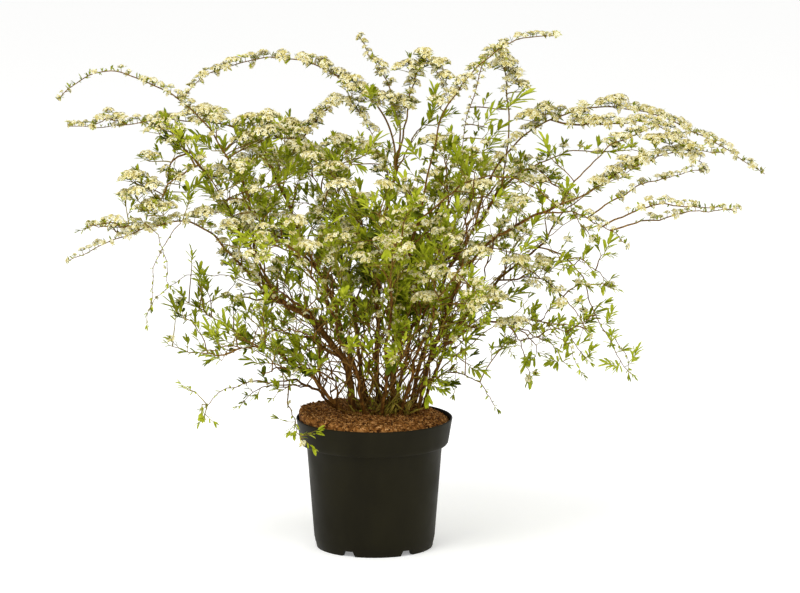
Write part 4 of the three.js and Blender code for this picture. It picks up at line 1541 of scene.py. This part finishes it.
    def dress_garland(self, size: SpraySize, stem: Limb) -> None:
        """Clusters of flowers on short spurs along the upper side of an arching stem."""
        draw = self.draw
        for twig in side_twigs(stem, RULES[Habit.GARLAND], draw, size.bare):
            wave = 0.62 + 0.38 * math.sin(9.5 * twig.share + size.at * 40 + size.tip[0])
            full = size.fullness * draw.between(0.78, 1.2) * (1 - 0.46 * twig.share**2)
            if size.crest is not None:
                full *= 0.6 + 0.75 * math.exp(-(((twig.share - size.crest) / 0.17) ** 2))
            if not twig.blooms or draw() > (wave + 0.3) * size.density:
                ways = spread_out(twig.direction, 1.0, draw)
                self.add_leaves(Kind.SUMMER, self.NARROW, twig.base, ways, 0.005 + 0.008 * draw.many(3))
                continue
            end = twig.base + twig.direction * twig.length
            square = np.cross(twig.direction, twig.along)
            self.add_stalk(Kind.SHOOT, twig.base, end, (0.0008, 0.0007, 0.0006), square)
            self.add_umbel(end, unit(twig.direction + 0.5 * UP), full)
        self.finish_tip(stem, Kind.SUMMER, bloom=0.9)

    def dress_mixed(self, size: SpraySize, stem: Limb) -> None:
        """Side boughs and leafy side shoots, most of them with a cluster of flowers at their end."""
        for number, twig in enumerate(side_twigs(stem, RULES[Habit.MIXED], self.draw)):
            if number % 3 == 0 and twig.share < 0.8:
                self.add_bough(twig, part=1.7, bloom=0.6, tones=(0.1, 0.35))
                continue
            tone = Kind.YOUNG if twig.share > 0.6 else size.tone
            reach = twig.length * (0.62 - 0.25 * twig.share) * (0.4 if in_open(twig.base) else 1.0)
            tip, end = self.add_shoot(tone, twig.base, twig.direction, reach, leaf=0.018)
            if twig.blooms:
                self.add_head(tip, end, sizes=(0.75, 1.1))
        self.finish_tip(stem, size.tone, bloom=0.8)

    def dress_leafy(self, size: SpraySize, stem: Limb) -> None:
        """Side boughs and leafy side shoots with few flowers."""
        for number, twig in enumerate(side_twigs(stem, RULES[Habit.LEAFY], self.draw)):
            if number % 3 == 0 and twig.share < 0.7:
                self.add_bough(twig, part=1.4, bloom=0.08, tones=(0.25, 0.3))
                continue
            part = 0.42 if self.side is Side.RIGHT else 0.6
            tip, end = self.shoot_from(size.tone, twig, leaf=0.018, part=part)
            if self.draw() < 0.3:
                self.add_tuft(Kind.YOUNG, tip, end, self.draw.between(0.022, 0.032))
            elif twig.blooms:
                self.add_head(tip, end, sizes=(0.6, 0.9))
        self.finish_tip(stem, size.tone, bloom=0.0)

    def dress_string(self, size: SpraySize, stem: Limb) -> None:
        """A nearly bare stem with buds, a few small leaves and a few small clusters."""
        for twig in side_twigs(stem, RULES[Habit.STRING], self.draw):
            ways = spread_out(twig.direction, 1.2, self.draw)
            if twig.blooms:
                self.add_umbel(twig.base + twig.direction * 0.003, twig.direction, size=0.42)
            else:
                sizes = 0.0035 + 0.009 * self.draw.many(3) * twig.share
                self.add_leaves(Kind.YOUNG, self.BROAD, twig.base, ways, sizes)
        self.finish_tip(stem, size.tone, bloom=0.3)

    def finish_tip(self, stem: Limb, tone: Kind, bloom: float) -> None:
        """Ends a stem in a small tuft, or in a small cluster of flowers."""
        base, along = stem.place(0.985)
        if self.draw() < bloom:
            self.add_umbel(base, unit(along + 0.6 * UP), size=0.6)
        else:
            self.add_shoot(tone, base, along, length=0.012, leaf=0.012)

    def add_bough(self, twig: Twig, part: float, bloom: float, tones: Pair) -> None:
        """Adds a thin side bough that arches over, with short leafy shoots and some flowers on top.

        Args:
            twig: the side twig that it grows out of.
            part: its length against that of the twig.
            bloom: the share of its shoots that end in a cluster of flowers.
            tones: the shares of shaded and of young leaves among its shoots.
        """
        draw = self.draw
        length = twig.length * part
        middle = twig.base + twig.direction * length * 0.6
        if in_open(middle) or (in_front(middle) and draw() < self.shrub.front_gaps):
            return
        low_left = LOW_LEFT.holds(twig.base)
        airy = self.side is Side.RIGHT or low_left
        size = AIRY_BOUGH if airy else FULL_BOUGH
        shaded = tones[0] * (0.6 if low_left else 0.12 if airy else 1.0)
        young = tones[1] * (0.35 if low_left else 1.0)
        bend = (draw.between(8, 26), -draw.between(15, 50))
        reach = twig.direction * length / MM
        limb = Limb.towards(twig.base, twig.direction, reach, bend, radius=(size.root, 0.5), step=0.01)
        limb.wander(draw, amount=0.0017)
        self.add_stem(limb, Kind.TWIG)
        rule = HabitRule(size.spacing, size.twig, bare=0.34, forward=0.8, up=0.55, bloom=bloom)
        for shoot in side_twigs(limb, rule, draw):
            if self.shrub.keeps_off(shoot):
                continue
            # Shaded leaves are darker copies of the green, fewer where the crown is airy: painted shade.
            tone = Kind.SHADE if draw() < shaded else Kind.YOUNG if draw() < young else Kind.SUMMER
            leaf = draw.between(size.leaves[0] * MM, size.leaves[1] * MM)
            tip, end = self.shoot_from(tone, shoot, leaf)
            if shoot.blooms:
                self.add_head(tip, end, sizes=(0.75, 1.05), lift=1.2)
        base, along = limb.place(0.97)
        if bloom > 0.4 and not airy and draw() < 0.3:
            self.add_plate(base)
        elif draw() < 0.5:
            tone = Kind.YOUNG if draw() < (0.25 if low_left else 0.6) else Kind.SUMMER
            self.add_tuft(tone, base, along, draw.between(0.022, 0.034))
        else:
            self.finish_tip(limb, Kind.YOUNG, bloom)


# ---- The plant ----


@dataclass
class Shrub:
    """The plant above the soil: canes, the sprays they carry, and all that grows on them."""

    young_canes: int = 24
    suckers: int = 14
    stubs: int = 120
    weave: int = 74
    front_gaps: float = 0.55
    relief: tuple[Pair, ...] = ((0.011, 0.0013), (0.0035, 0.0008))
    bare_width: float = 0.019
    sight_fall: float = 0.178
    canes: dict[str, Limb] = field(default_factory=dict)
    limbs: list[tuple[Side, Limb]] = field(default_factory=list)
    wood: list[tuple[Side, Limb]] = field(default_factory=list)
    piles: dict[tuple[Side, Kind], Pile] = field(default_factory=dict)
    nodes: dict[Side, list[str]] = field(default_factory=dict)

    def grow_canes(self) -> None:
        """Lays out every cane, each from the soil or from a cane before it."""
        for number, (name, size) in enumerate(CANES.items()):
            if size.foot is not None:
                start = np.array([*size.foot, SOIL_LEVEL]) * MM
            else:
                start = self.canes[size.leaves[0]].place(size.leaves[1])[0]
            slim = 1.0 if name == "left_main" else 0.74 if side_of(name) is Side.RIGHT else 0.82
            radius = (slim * size.radius[0], slim * size.radius[1])
            limb = Limb.arch(start, size.tip, size.pitch, radius, step=0.005)
            limb.flare = 0.3 if size.foot is not None else 0.0
            limb.wander(Draws(CANE_SEEDS[number]), amount=0.0035)
            self.canes[name] = limb
            self.wood.append((side_of(name), limb))

    def build_canes(self, finish: BarkFinish) -> None:
        """Models the bark of every cane as one piece with relief.

        Args:
            finish: the bark.
        """
        deselect()
        bpy.ops.curve.primitive_nurbs_path_add(radius=1, location=(0, 0, 0))
        bark = bpy.context.object
        bark.name = "cane_bark"
        curve = bark.data
        curve.splines.clear()
        curve.bevel_depth = 1.0
        curve.bevel_resolution = 4
        curve.use_fill_caps = True
        for limb in [*self.canes.values(), *(limb for _, limb in self.limbs)]:
            points, radii = limb.points, limb.radii()
            if limb.flare:
                root = points[:1] - 0.007 * UP
                points, radii = np.concatenate([root, points]), np.concatenate([radii[:1] * 1.1, radii])
            spline = curve.splines.new("POLY")
            spline.points.add(len(points) - 1)
            spline.points.foreach_set("co", np.column_stack([points, np.ones(len(points))]).ravel())
            spline.points.foreach_set("radius", radii)
        bpy.ops.object.convert(target="MESH")
        bark = bpy.context.object
        bark.data.name = "cane_bark"
        bpy.ops.object.mode_set(mode="EDIT")
        bpy.ops.mesh.select_all(action="SELECT")
        bpy.ops.mesh.remove_doubles(threshold=0.00002)
        bpy.ops.mesh.normals_make_consistent(inside=False)
        bpy.ops.object.mode_set(mode="OBJECT")
        for scale, strength in self.relief:
            texture = bpy.data.textures.new("bark_relief", "CLOUDS")
            texture.noise_scale = scale
            relief = bark.modifiers.new("relief", "DISPLACE")
            relief.texture = texture
            relief.texture_coords = "LOCAL"
            relief.strength = strength
            relief.mid_level = 0.5
        apply_modifiers(bark)
        hand_over(bark, finish.material(), [f"cane_{name}" for name in self.canes], smooth=True)

    def hides_wood(self, place: Array) -> bool:
        """Checks a shoot against the bare wood of the main boughs, along a line that falls to the back.

        Args:
            place: the middle of the shoot.

        Returns:
            Whether it would stand before bare wood, as seen from the front.
        """
        fall = np.array([0.0, self.sight_fall, 1.0])
        for name, (low, high) in BARE_WOOD.items():
            points = self.canes[name].points
            points = points[int(low * len(points)) : int(high * len(points)) + 1]
            near = np.hypot(points[:, 0] - place[0], points @ fall - place @ fall) < self.bare_width
            if bool((near & (points[:, 1] > place[1] + 0.008)).any()):
                return True
        return False

    def keeps_off(self, twig: Twig) -> bool:
        """Returns whether a shoot would stand low among the canes or before bare wood."""
        return CANE_FOOT.holds(twig.base) or self.hides_wood(twig.base + 0.5 * twig.direction * twig.length)

    def grow_stems(self, size: SpraySize, seed: int) -> list[Limb]:
        """The stems of a spray: its main stem, then its forks."""
        cane = self.canes[size.cane]
        thickest = cane.radius_at(size.at) / MM * 0.8

        def grow(start: Array, tip: Triple, pitch: Pair, bow: Pair, number: int) -> Limb:
            """Grows one stem and lets it wander."""
            reach = float(np.linalg.norm(tip))
            root = min(size.stout * (1.5 + reach / 330), thickest)
            limb = Limb.arch(start, tip, pitch, (root, 0.65 * size.stout), step=0.008, bow=bow)
            limb.taper = 1.2
            limb.wander(Draws(seed * 7 + number), amount=0.0032)
            return limb

        main = grow(cane.place(size.at)[0], size.tip, size.pitch, size.bow, 1)
        forks = [
            grow(main.place(fork.at)[0], fork.tip, fork.pitch, fork.bow, 2 + index)
            for index, fork in enumerate(size.forks)
        ]
        return [main, *forks]

    def grow_sprays(self) -> None:
        """Grows every spray by its habit."""
        for number, (name, size) in enumerate(SPRAYS.items()):
            seed = SPRAY_SEEDS[number]
            grower = Grower(self, side_of(size.cane), Draws(seed))
            self.nodes.setdefault(grower.side, []).append(f"spray_{name}")
            main, *forks = self.grow_stems(size, seed)
            for stem in (main, *forks):
                grower.add_stem(stem, Kind.TWIG, sides=5)
                self.wood.append((grower.side, stem))
                if size.habit is Habit.GARLAND and stem is main:
                    grower.fill_garland(stem)
                grower.dress(size, stem)

    def grow_limbs(self) -> None:
        """Forks the canes low in the crown into limbs, from which many of the side boughs spring."""
        for number, (name, size) in enumerate(CANES.items()):
            if size.foot is None:
                continue
            cane = self.canes[name]
            draw = Draws(LIMB_SEEDS[number])
            for share in (0.1, 0.27, 0.48):
                at = share + 0.12 * draw()
                base, along = cane.place(at)
                way = unit(along + around(along, draw.turn()) * draw.between(0.7, 1.25) + 0.2 * UP)
                reach = way * cane.length * draw.between(0.38, 0.62) / MM
                root = (0.5 if side_of(name) is Side.RIGHT else 0.62) * cane.radius_at(at) / MM
                limb = Limb.towards(base, way, reach, bend=(14, -12), radius=(root, 0.9), step=0.006)
                limb.wander(draw, amount=0.003)
                self.limbs.append((side_of(name), limb))

    def dress_canes(self) -> None:
        """Side boughs on canes and limbs: shaded and leafy below, in flower above."""
        spacing = {Side.LEFT: 33, Side.CENTRE: 50, Side.RIGHT: 72, Side.FRONT: 58, Side.BACK: 42}
        carriers = [(side_of(name), limb, spacing[side_of(name)], 0.36) for name, limb in self.canes.items()]
        carriers += [(side, limb, 36, 0.42) for side, limb in self.limbs]
        for number, (side, limb, gap, start) in enumerate(carriers):
            grower = Grower(self, side, Draws(BOUGH_SEEDS[number]))
            is_cane = number < len(self.canes)
            part = (1.0 if is_cane else 0.75) * (0.8 if side is Side.RIGHT else 1.0)
            rule = HabitRule(spacing=gap, twig=118, bare=0.0, forward=0.55, up=0.35, bloom=0.5)
            for twig in side_twigs(limb, rule, grower.draw, start):
                # Lower on a carrier, far more of the leaves are the darker shaded copies: painted shade.
                tones = (0.4, 0.24) if twig.share < 0.5 else (0.09, 0.36)
                grower.add_bough(twig, part, self.bloom_at(side, twig.base[2]), tones)
            if is_cane and limb.length > 0.2:
                grower.dress_garland(BUDDED, limb)

    @staticmethod
    def bloom_at(side: Side, height: float) -> float:
        """Returns the share of shoots with flowers on a side bough that starts at a height."""
        if height < 0.38:
            return 0.03
        if height > 0.46:
            return 0.62
        return 0.12 if side is Side.LEFT else 0.26

    def grow_young_canes(self) -> None:
        """Thin young canes that rise between the old ones and fill the crown with leaves."""
        draw = Draws(YOUNG_SEED)
        for number in range(self.young_canes):
            turn = math.radians(GOLDEN_TURN * number)
            way = np.array([math.cos(turn), math.sin(turn)])
            foot = YOUNG_RING.foot(draw.between(6, 52), turn + math.pi + draw.between(-1.5, 1.5))
            out = draw.between(60, 270)
            tip = (out * way[0] * 1.2, out * way[1], draw.between(130, 380))
            pitch = (draw.between(34, 78), draw.between(20, 80))
            root = draw.between(0.8, 1.7) * (1.55 if number % 3 == 1 else 1.0)
            limb = Limb.arch(foot, tip, pitch, radius=(root, 0.6), step=0.008)
            limb.wander(draw, amount=0.003)
            grower = Grower(self, side_at(way), draw)
            grower.add_stem(limb, Kind.SHOOT if number % 4 == 3 else Kind.TWIG, sides=5)
            for twig in side_twigs(limb, YOUNG_RULE, draw, draw.between(0.35, 0.75)):
                if self.keeps_off(twig):
                    continue
                # The lower shoots get the darker shaded leaves: painted shade.
                tone = Kind.SHADE if twig.share < 0.45 else Kind.SUMMER if draw() < 0.75 else Kind.YOUNG
                top, end = grower.shoot_from(tone, twig, leaf=0.019)
                if twig.blooms and top[2] > 0.45:
                    grower.add_head(top, end, sizes=(0.65, 0.95))
            base, along = limb.place(0.98)
            grower.add_tuft(Kind.YOUNG, base, along, draw.between(0.022, 0.034))

    def grow_weave(self) -> None:
        """Thin bare shoots that cross between the canes low in the crown."""
        draw = Draws(WEAVE_SEED)
        carriers = [*((side, limb) for side, limb in self.wood if limb.flare), *self.limbs]
        for number in range(self.weave):
            side, carrier = carriers[int(draw() * len(carriers))]
            base, along = carrier.place(draw.between(0.06, 0.42))
            turn = draw.turn()
            way = unit(along * 0.6 + np.array([1.3 * math.cos(turn), math.sin(turn), draw.between(0.2, 1.3)]))
            reach = way * draw.between(110, 240)
            radius = (draw.between(0.9, 1.7), 0.5)
            shoot = Limb.towards(base, way, reach, (6, -8), radius, step=0.011, bow=TIGHT_BOW)
            shoot.wander(draw, amount=0.0022)
            grower = Grower(self, side, draw)
            grower.add_stem(shoot, Kind.TWIG)
            base, along = shoot.place(0.97)
            if number % 2 == 0 and not CANE_FOOT.holds(base):
                grower.add_shoot(Kind.SUMMER, base, along, length=0.03, leaf=0.016)

    def grow_suckers(self) -> None:
        """Short shoots and dead stubs from the soil among the canes, and leafy shoots over the rim."""
        draw = Draws(SUCKER_SEED)
        for number in range(self.suckers):
            turn = math.radians(GOLDEN_TURN * number)
            foot = SUCKER_RING.foot(draw.between(8, 60), turn)
            way = unit(np.array([math.cos(turn), math.sin(turn), draw.between(0.8, 2.6)]))
            grower = Grower(self, side_at(way), draw)
            grower.add_shoot(Kind.YOUNG, foot, way, draw.between(0.03, 0.075), leaf=0.014)
        for number in range(self.stubs):
            green = number % 3 == 0
            turn = draw.turn() * (-0.5 if green else 1.0)
            foot = STUB_RING.foot(draw.between(36 if green else 4, 66), turn)
            lean = draw.turn()
            way = unit(np.array([math.cos(lean), math.sin(lean), draw.between(0.25, 1.4)]))
            end = foot + way * draw.between(0.02, 0.075)
            radii = np.array([0.0016, 0.0012, 0.0008]) * draw.between(0.7, 1.2)
            square = np.cross(way, (0.1, 0.2, 1.0))
            grower = Grower(self, side_at(way), draw)
            grower.add_stalk(Kind.SHOOT if green else Kind.TWIG, foot, end, radii, square, sides=4)
        for place, way, leaf in RIM_TUFTS:
            spot = np.array(place) * MM
            grower, _ = self.reach_out(spot, draw, leafy=False)
            for _ in range(3):
                spread = unit(np.array(way) + (draw.many(3) - 0.5) * 1.1)
                grower.add_shoot(Kind.YOUNG, spot, spread, 2 * leaf * MM, leaf * MM, Grower.OVAL)

    def reach_out(self, place: Array, draw: Draws, leafy: bool = True) -> tuple[Grower, Array]:
        """Grows a thin twig to a place from the nearest wood below it.

        Args:
            place: where the twig ends.
            draw: the seeded draws.
            leafy: whether the twig carries leafy shoots.

        Returns:
            The grower for the part of the crown that the wood belongs to, and the heading of the twig.
        """
        def cost(limb: Limb) -> Array:
            """Returns how far each point of a limb is from the place, more where it is above it."""
            gap = place - limb.points
            return np.linalg.norm(gap, axis=1) + 3 * np.maximum(0.0, -gap[:, 2])

        side, limb = min(self.wood, key=lambda pair: float(cost(pair[1]).min()))
        grower = Grower(self, side, draw)
        base = limb.points[int(cost(limb).argmin())]
        gap = place - base
        way = unit(gap)
        if np.linalg.norm(gap) < 0.008:
            return grower, way
        twig = Limb.towards(base, way, gap / MM, (12, 4), (1.2, 0.7), step=0.008, bow=TIGHT_BOW)
        grower.add_stem(twig, Kind.SHOOT if len(twig.points) < 9 else Kind.TWIG)
        for shoot in side_twigs(twig, TWIG_RULE, draw) if leafy else ():
            grower.shoot_from(Kind.SUMMER, shoot, leaf=0.017)
        return grower, way

    def place_heads(self) -> None:
        """Broad flower heads, fine strings and tufts of long young leaves at their own places."""
        draw = Draws(HEAD_SEED)
        for place in HEADS:
            spot = np.array(place) * MM
            grower, _ = self.reach_out(spot, draw)
            grower.add_plate(spot)
        for start, end in STRINGS:
            root = np.array(start) * MM
            gap = np.array(end, dtype=float) - np.array(start, dtype=float)
            grower, _ = self.reach_out(root, draw, leafy=False)
            pitch = (20, -60) if abs(gap[0]) > abs(gap[2]) else (-40, -80)
            string = Limb.arch(root, gap, pitch, radius=(0.8, 0.45), step=0.008)
            string.wander(draw, amount=0.003)
            grower.add_stem(string, Kind.TWIG)
            grower.dress_string(SPRAYS["left_bare"], string)
        for place, leaf in TUFTS:
            spot = np.array(place) * MM
            grower, way = self.reach_out(spot, draw, leafy=leaf > 29)
            grower.add_tuft(Kind.YOUNG if draw() < 0.6 else Kind.SUMMER, spot, way, leaf * MM)

    def build(self, finishes: dict[Kind, LeafFinish | PetalFinish | BarkFinish]) -> None:
        """Joins every pile into a piece and hands it over.

        Args:
            finishes: the finish of each kind.
        """
        materials = {kind: finish.material() for kind, finish in finishes.items()}
        for (side, kind), pile in self.piles.items():
            piece = pile.build(f"{side.value}_{kind.value}")
            smooth = kind not in (Kind.PETAL, Kind.EYE)
            hand_over(piece, materials[kind], self.nodes[side], smooth)


# ---- Studio ----


@dataclass(frozen=True)
class Softbox:
    """A large soft white lamp: its name, place, the point it faces, its size and its power."""

    name: str
    place: Triple
    target: Triple
    size: float
    power: float

    def build(self) -> None:
        """Hangs the lamp."""
        lamp = bpy.data.lights.new(self.name, "AREA")
        lamp.shape = "SQUARE"
        lamp.size = self.size
        lamp.energy = self.power
        holder = bpy.data.objects.new(self.name, lamp)
        holder.location = self.place
        way = Vector(self.target) - Vector(self.place)
        holder.rotation_euler = way.to_track_quat("-Z", "Y").to_euler()
        bpy.context.scene.collection.objects.link(holder)


@dataclass
class Studio:
    """A pale floor, soft lamps and a camera with a long lens."""

    floor_size: float = 60.0
    lens: float = 200.0
    sensor: float = 36.0
    furthest: float = 100.0
    camera_place: Triple = (0.0459, -7.7977, 1.8424)
    camera_pitch: float = 10.1
    sky: float = 0.72
    lamps: tuple[Softbox, ...] = (
        Softbox("key_lamp", (-1.5, -2.4, 4.6), (0.0, 0.0, 0.45), 2.2, 128.0),
        Softbox("fill_lamp", (3.4, -2.4, 2.2), (0.0, 0.0, 0.4), 2.6, 20.0),
        Softbox("back_lamp", (0.6, 3.4, 3.0), (0.0, 0.0, 0.5), 2.2, 16.0),
    )

    def build(self, finish: FloorFinish) -> None:
        """Sets up the floor, the lamps, the surroundings and the camera.

        Args:
            finish: the floor's finish.
        """
        deselect()
        bpy.ops.mesh.primitive_plane_add(size=self.floor_size, location=(0, 0, 0))
        floor = bpy.context.object
        floor.name = floor.data.name = "studio_floor"
        floor.data.materials.append(finish.material())
        for lamp in self.lamps:
            lamp.build()
        world = bpy.data.worlds.new("studio")
        world.use_nodes = True
        backdrop = world.node_tree.nodes["Background"]
        backdrop.inputs["Color"].default_value = (1.0, 1.0, 1.0, 1.0)
        backdrop.inputs["Strength"].default_value = self.sky
        scene = bpy.context.scene
        scene.world = world
        scene.view_settings.view_transform = "Standard"
        eye = bpy.data.cameras.new("camera")
        eye.lens = self.lens
        eye.sensor_width = self.sensor
        eye.clip_end = self.furthest
        holder = bpy.data.objects.new("camera", eye)
        holder.location = self.camera_place
        holder.rotation_euler = (math.radians(90 - self.camera_pitch), 0.0, 0.0)
        scene.collection.objects.link(holder)
        scene.camera = holder


# ---- The whole shrub ----

CANE_BARK = BarkFinish("cane_bark", (0.025, 0.009, 0.001), (0.11, 0.044, 0.005), (0.28, 0.13, 0.022))
FINISHES: dict[Kind, LeafFinish | PetalFinish | BarkFinish] = {
    Kind.TWIG: BarkFinish(
        "twig_bark", (0.05, 0.02, 0.001), (0.18, 0.088, 0.012), (0.38, 0.225, 0.055), grain=500.0
    ),
    Kind.SHOOT: LeafFinish("green_shoot", (0.24, 0.185, 0.02), (0.4, 0.31, 0.05)),
    Kind.YOUNG: LeafFinish("young_leaf", (0.295, 0.36, 0.006), (0.545, 0.58, 0.042)),
    Kind.SUMMER: LeafFinish("summer_leaf", (0.135, 0.18, 0.002), (0.38, 0.405, 0.014)),
    # Painted shade: a darker copy of the summer green, for leaves inside and low in the crown.
    Kind.SHADE: LeafFinish("shaded_leaf", (0.05, 0.075, 0.002), (0.14, 0.17, 0.004)),
    Kind.PETAL: PetalFinish("petal", (0.78, 0.69, 0.3), (0.98, 0.945, 0.7)),
    Kind.EYE: PetalFinish("flower_eye", (0.44, 0.34, 0.03), (0.62, 0.5, 0.09)),
}


def main() -> None:
    """Builds the studio, the pot, the mulch and the shrub."""
    logging.basicConfig(level=logging.INFO, format="%(message)s")
    Studio().build(FloorFinish("studio_floor", (0.95, 0.95, 0.94)))
    NurseryPot().build(PlasticFinish("pot_plastic", (0.0105, 0.009, 0.004), (0.016, 0.014, 0.006)))
    browns = ((0.055, 0.018, 0.002), (0.26, 0.1, 0.019), (0.53, 0.235, 0.06), (0.84, 0.48, 0.19))
    deep = ((0.03, 0.009, 0.001), (0.13, 0.046, 0.007), (0.28, 0.112, 0.024), (0.43, 0.205, 0.062))
    MulchFill().build(MulchFinish("mulch_bed", deep), MulchFinish("mulch_chip", browns))
    shrub = Shrub()
    shrub.grow_canes()
    shrub.grow_limbs()
    shrub.build_canes(CANE_BARK)
    shrub.grow_sprays()
    shrub.dress_canes()
    shrub.grow_young_canes()
    shrub.grow_weave()
    shrub.grow_suckers()
    shrub.place_heads()
    shrub.build(FINISHES)
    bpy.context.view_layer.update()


if __name__ == "__main__":
    main()
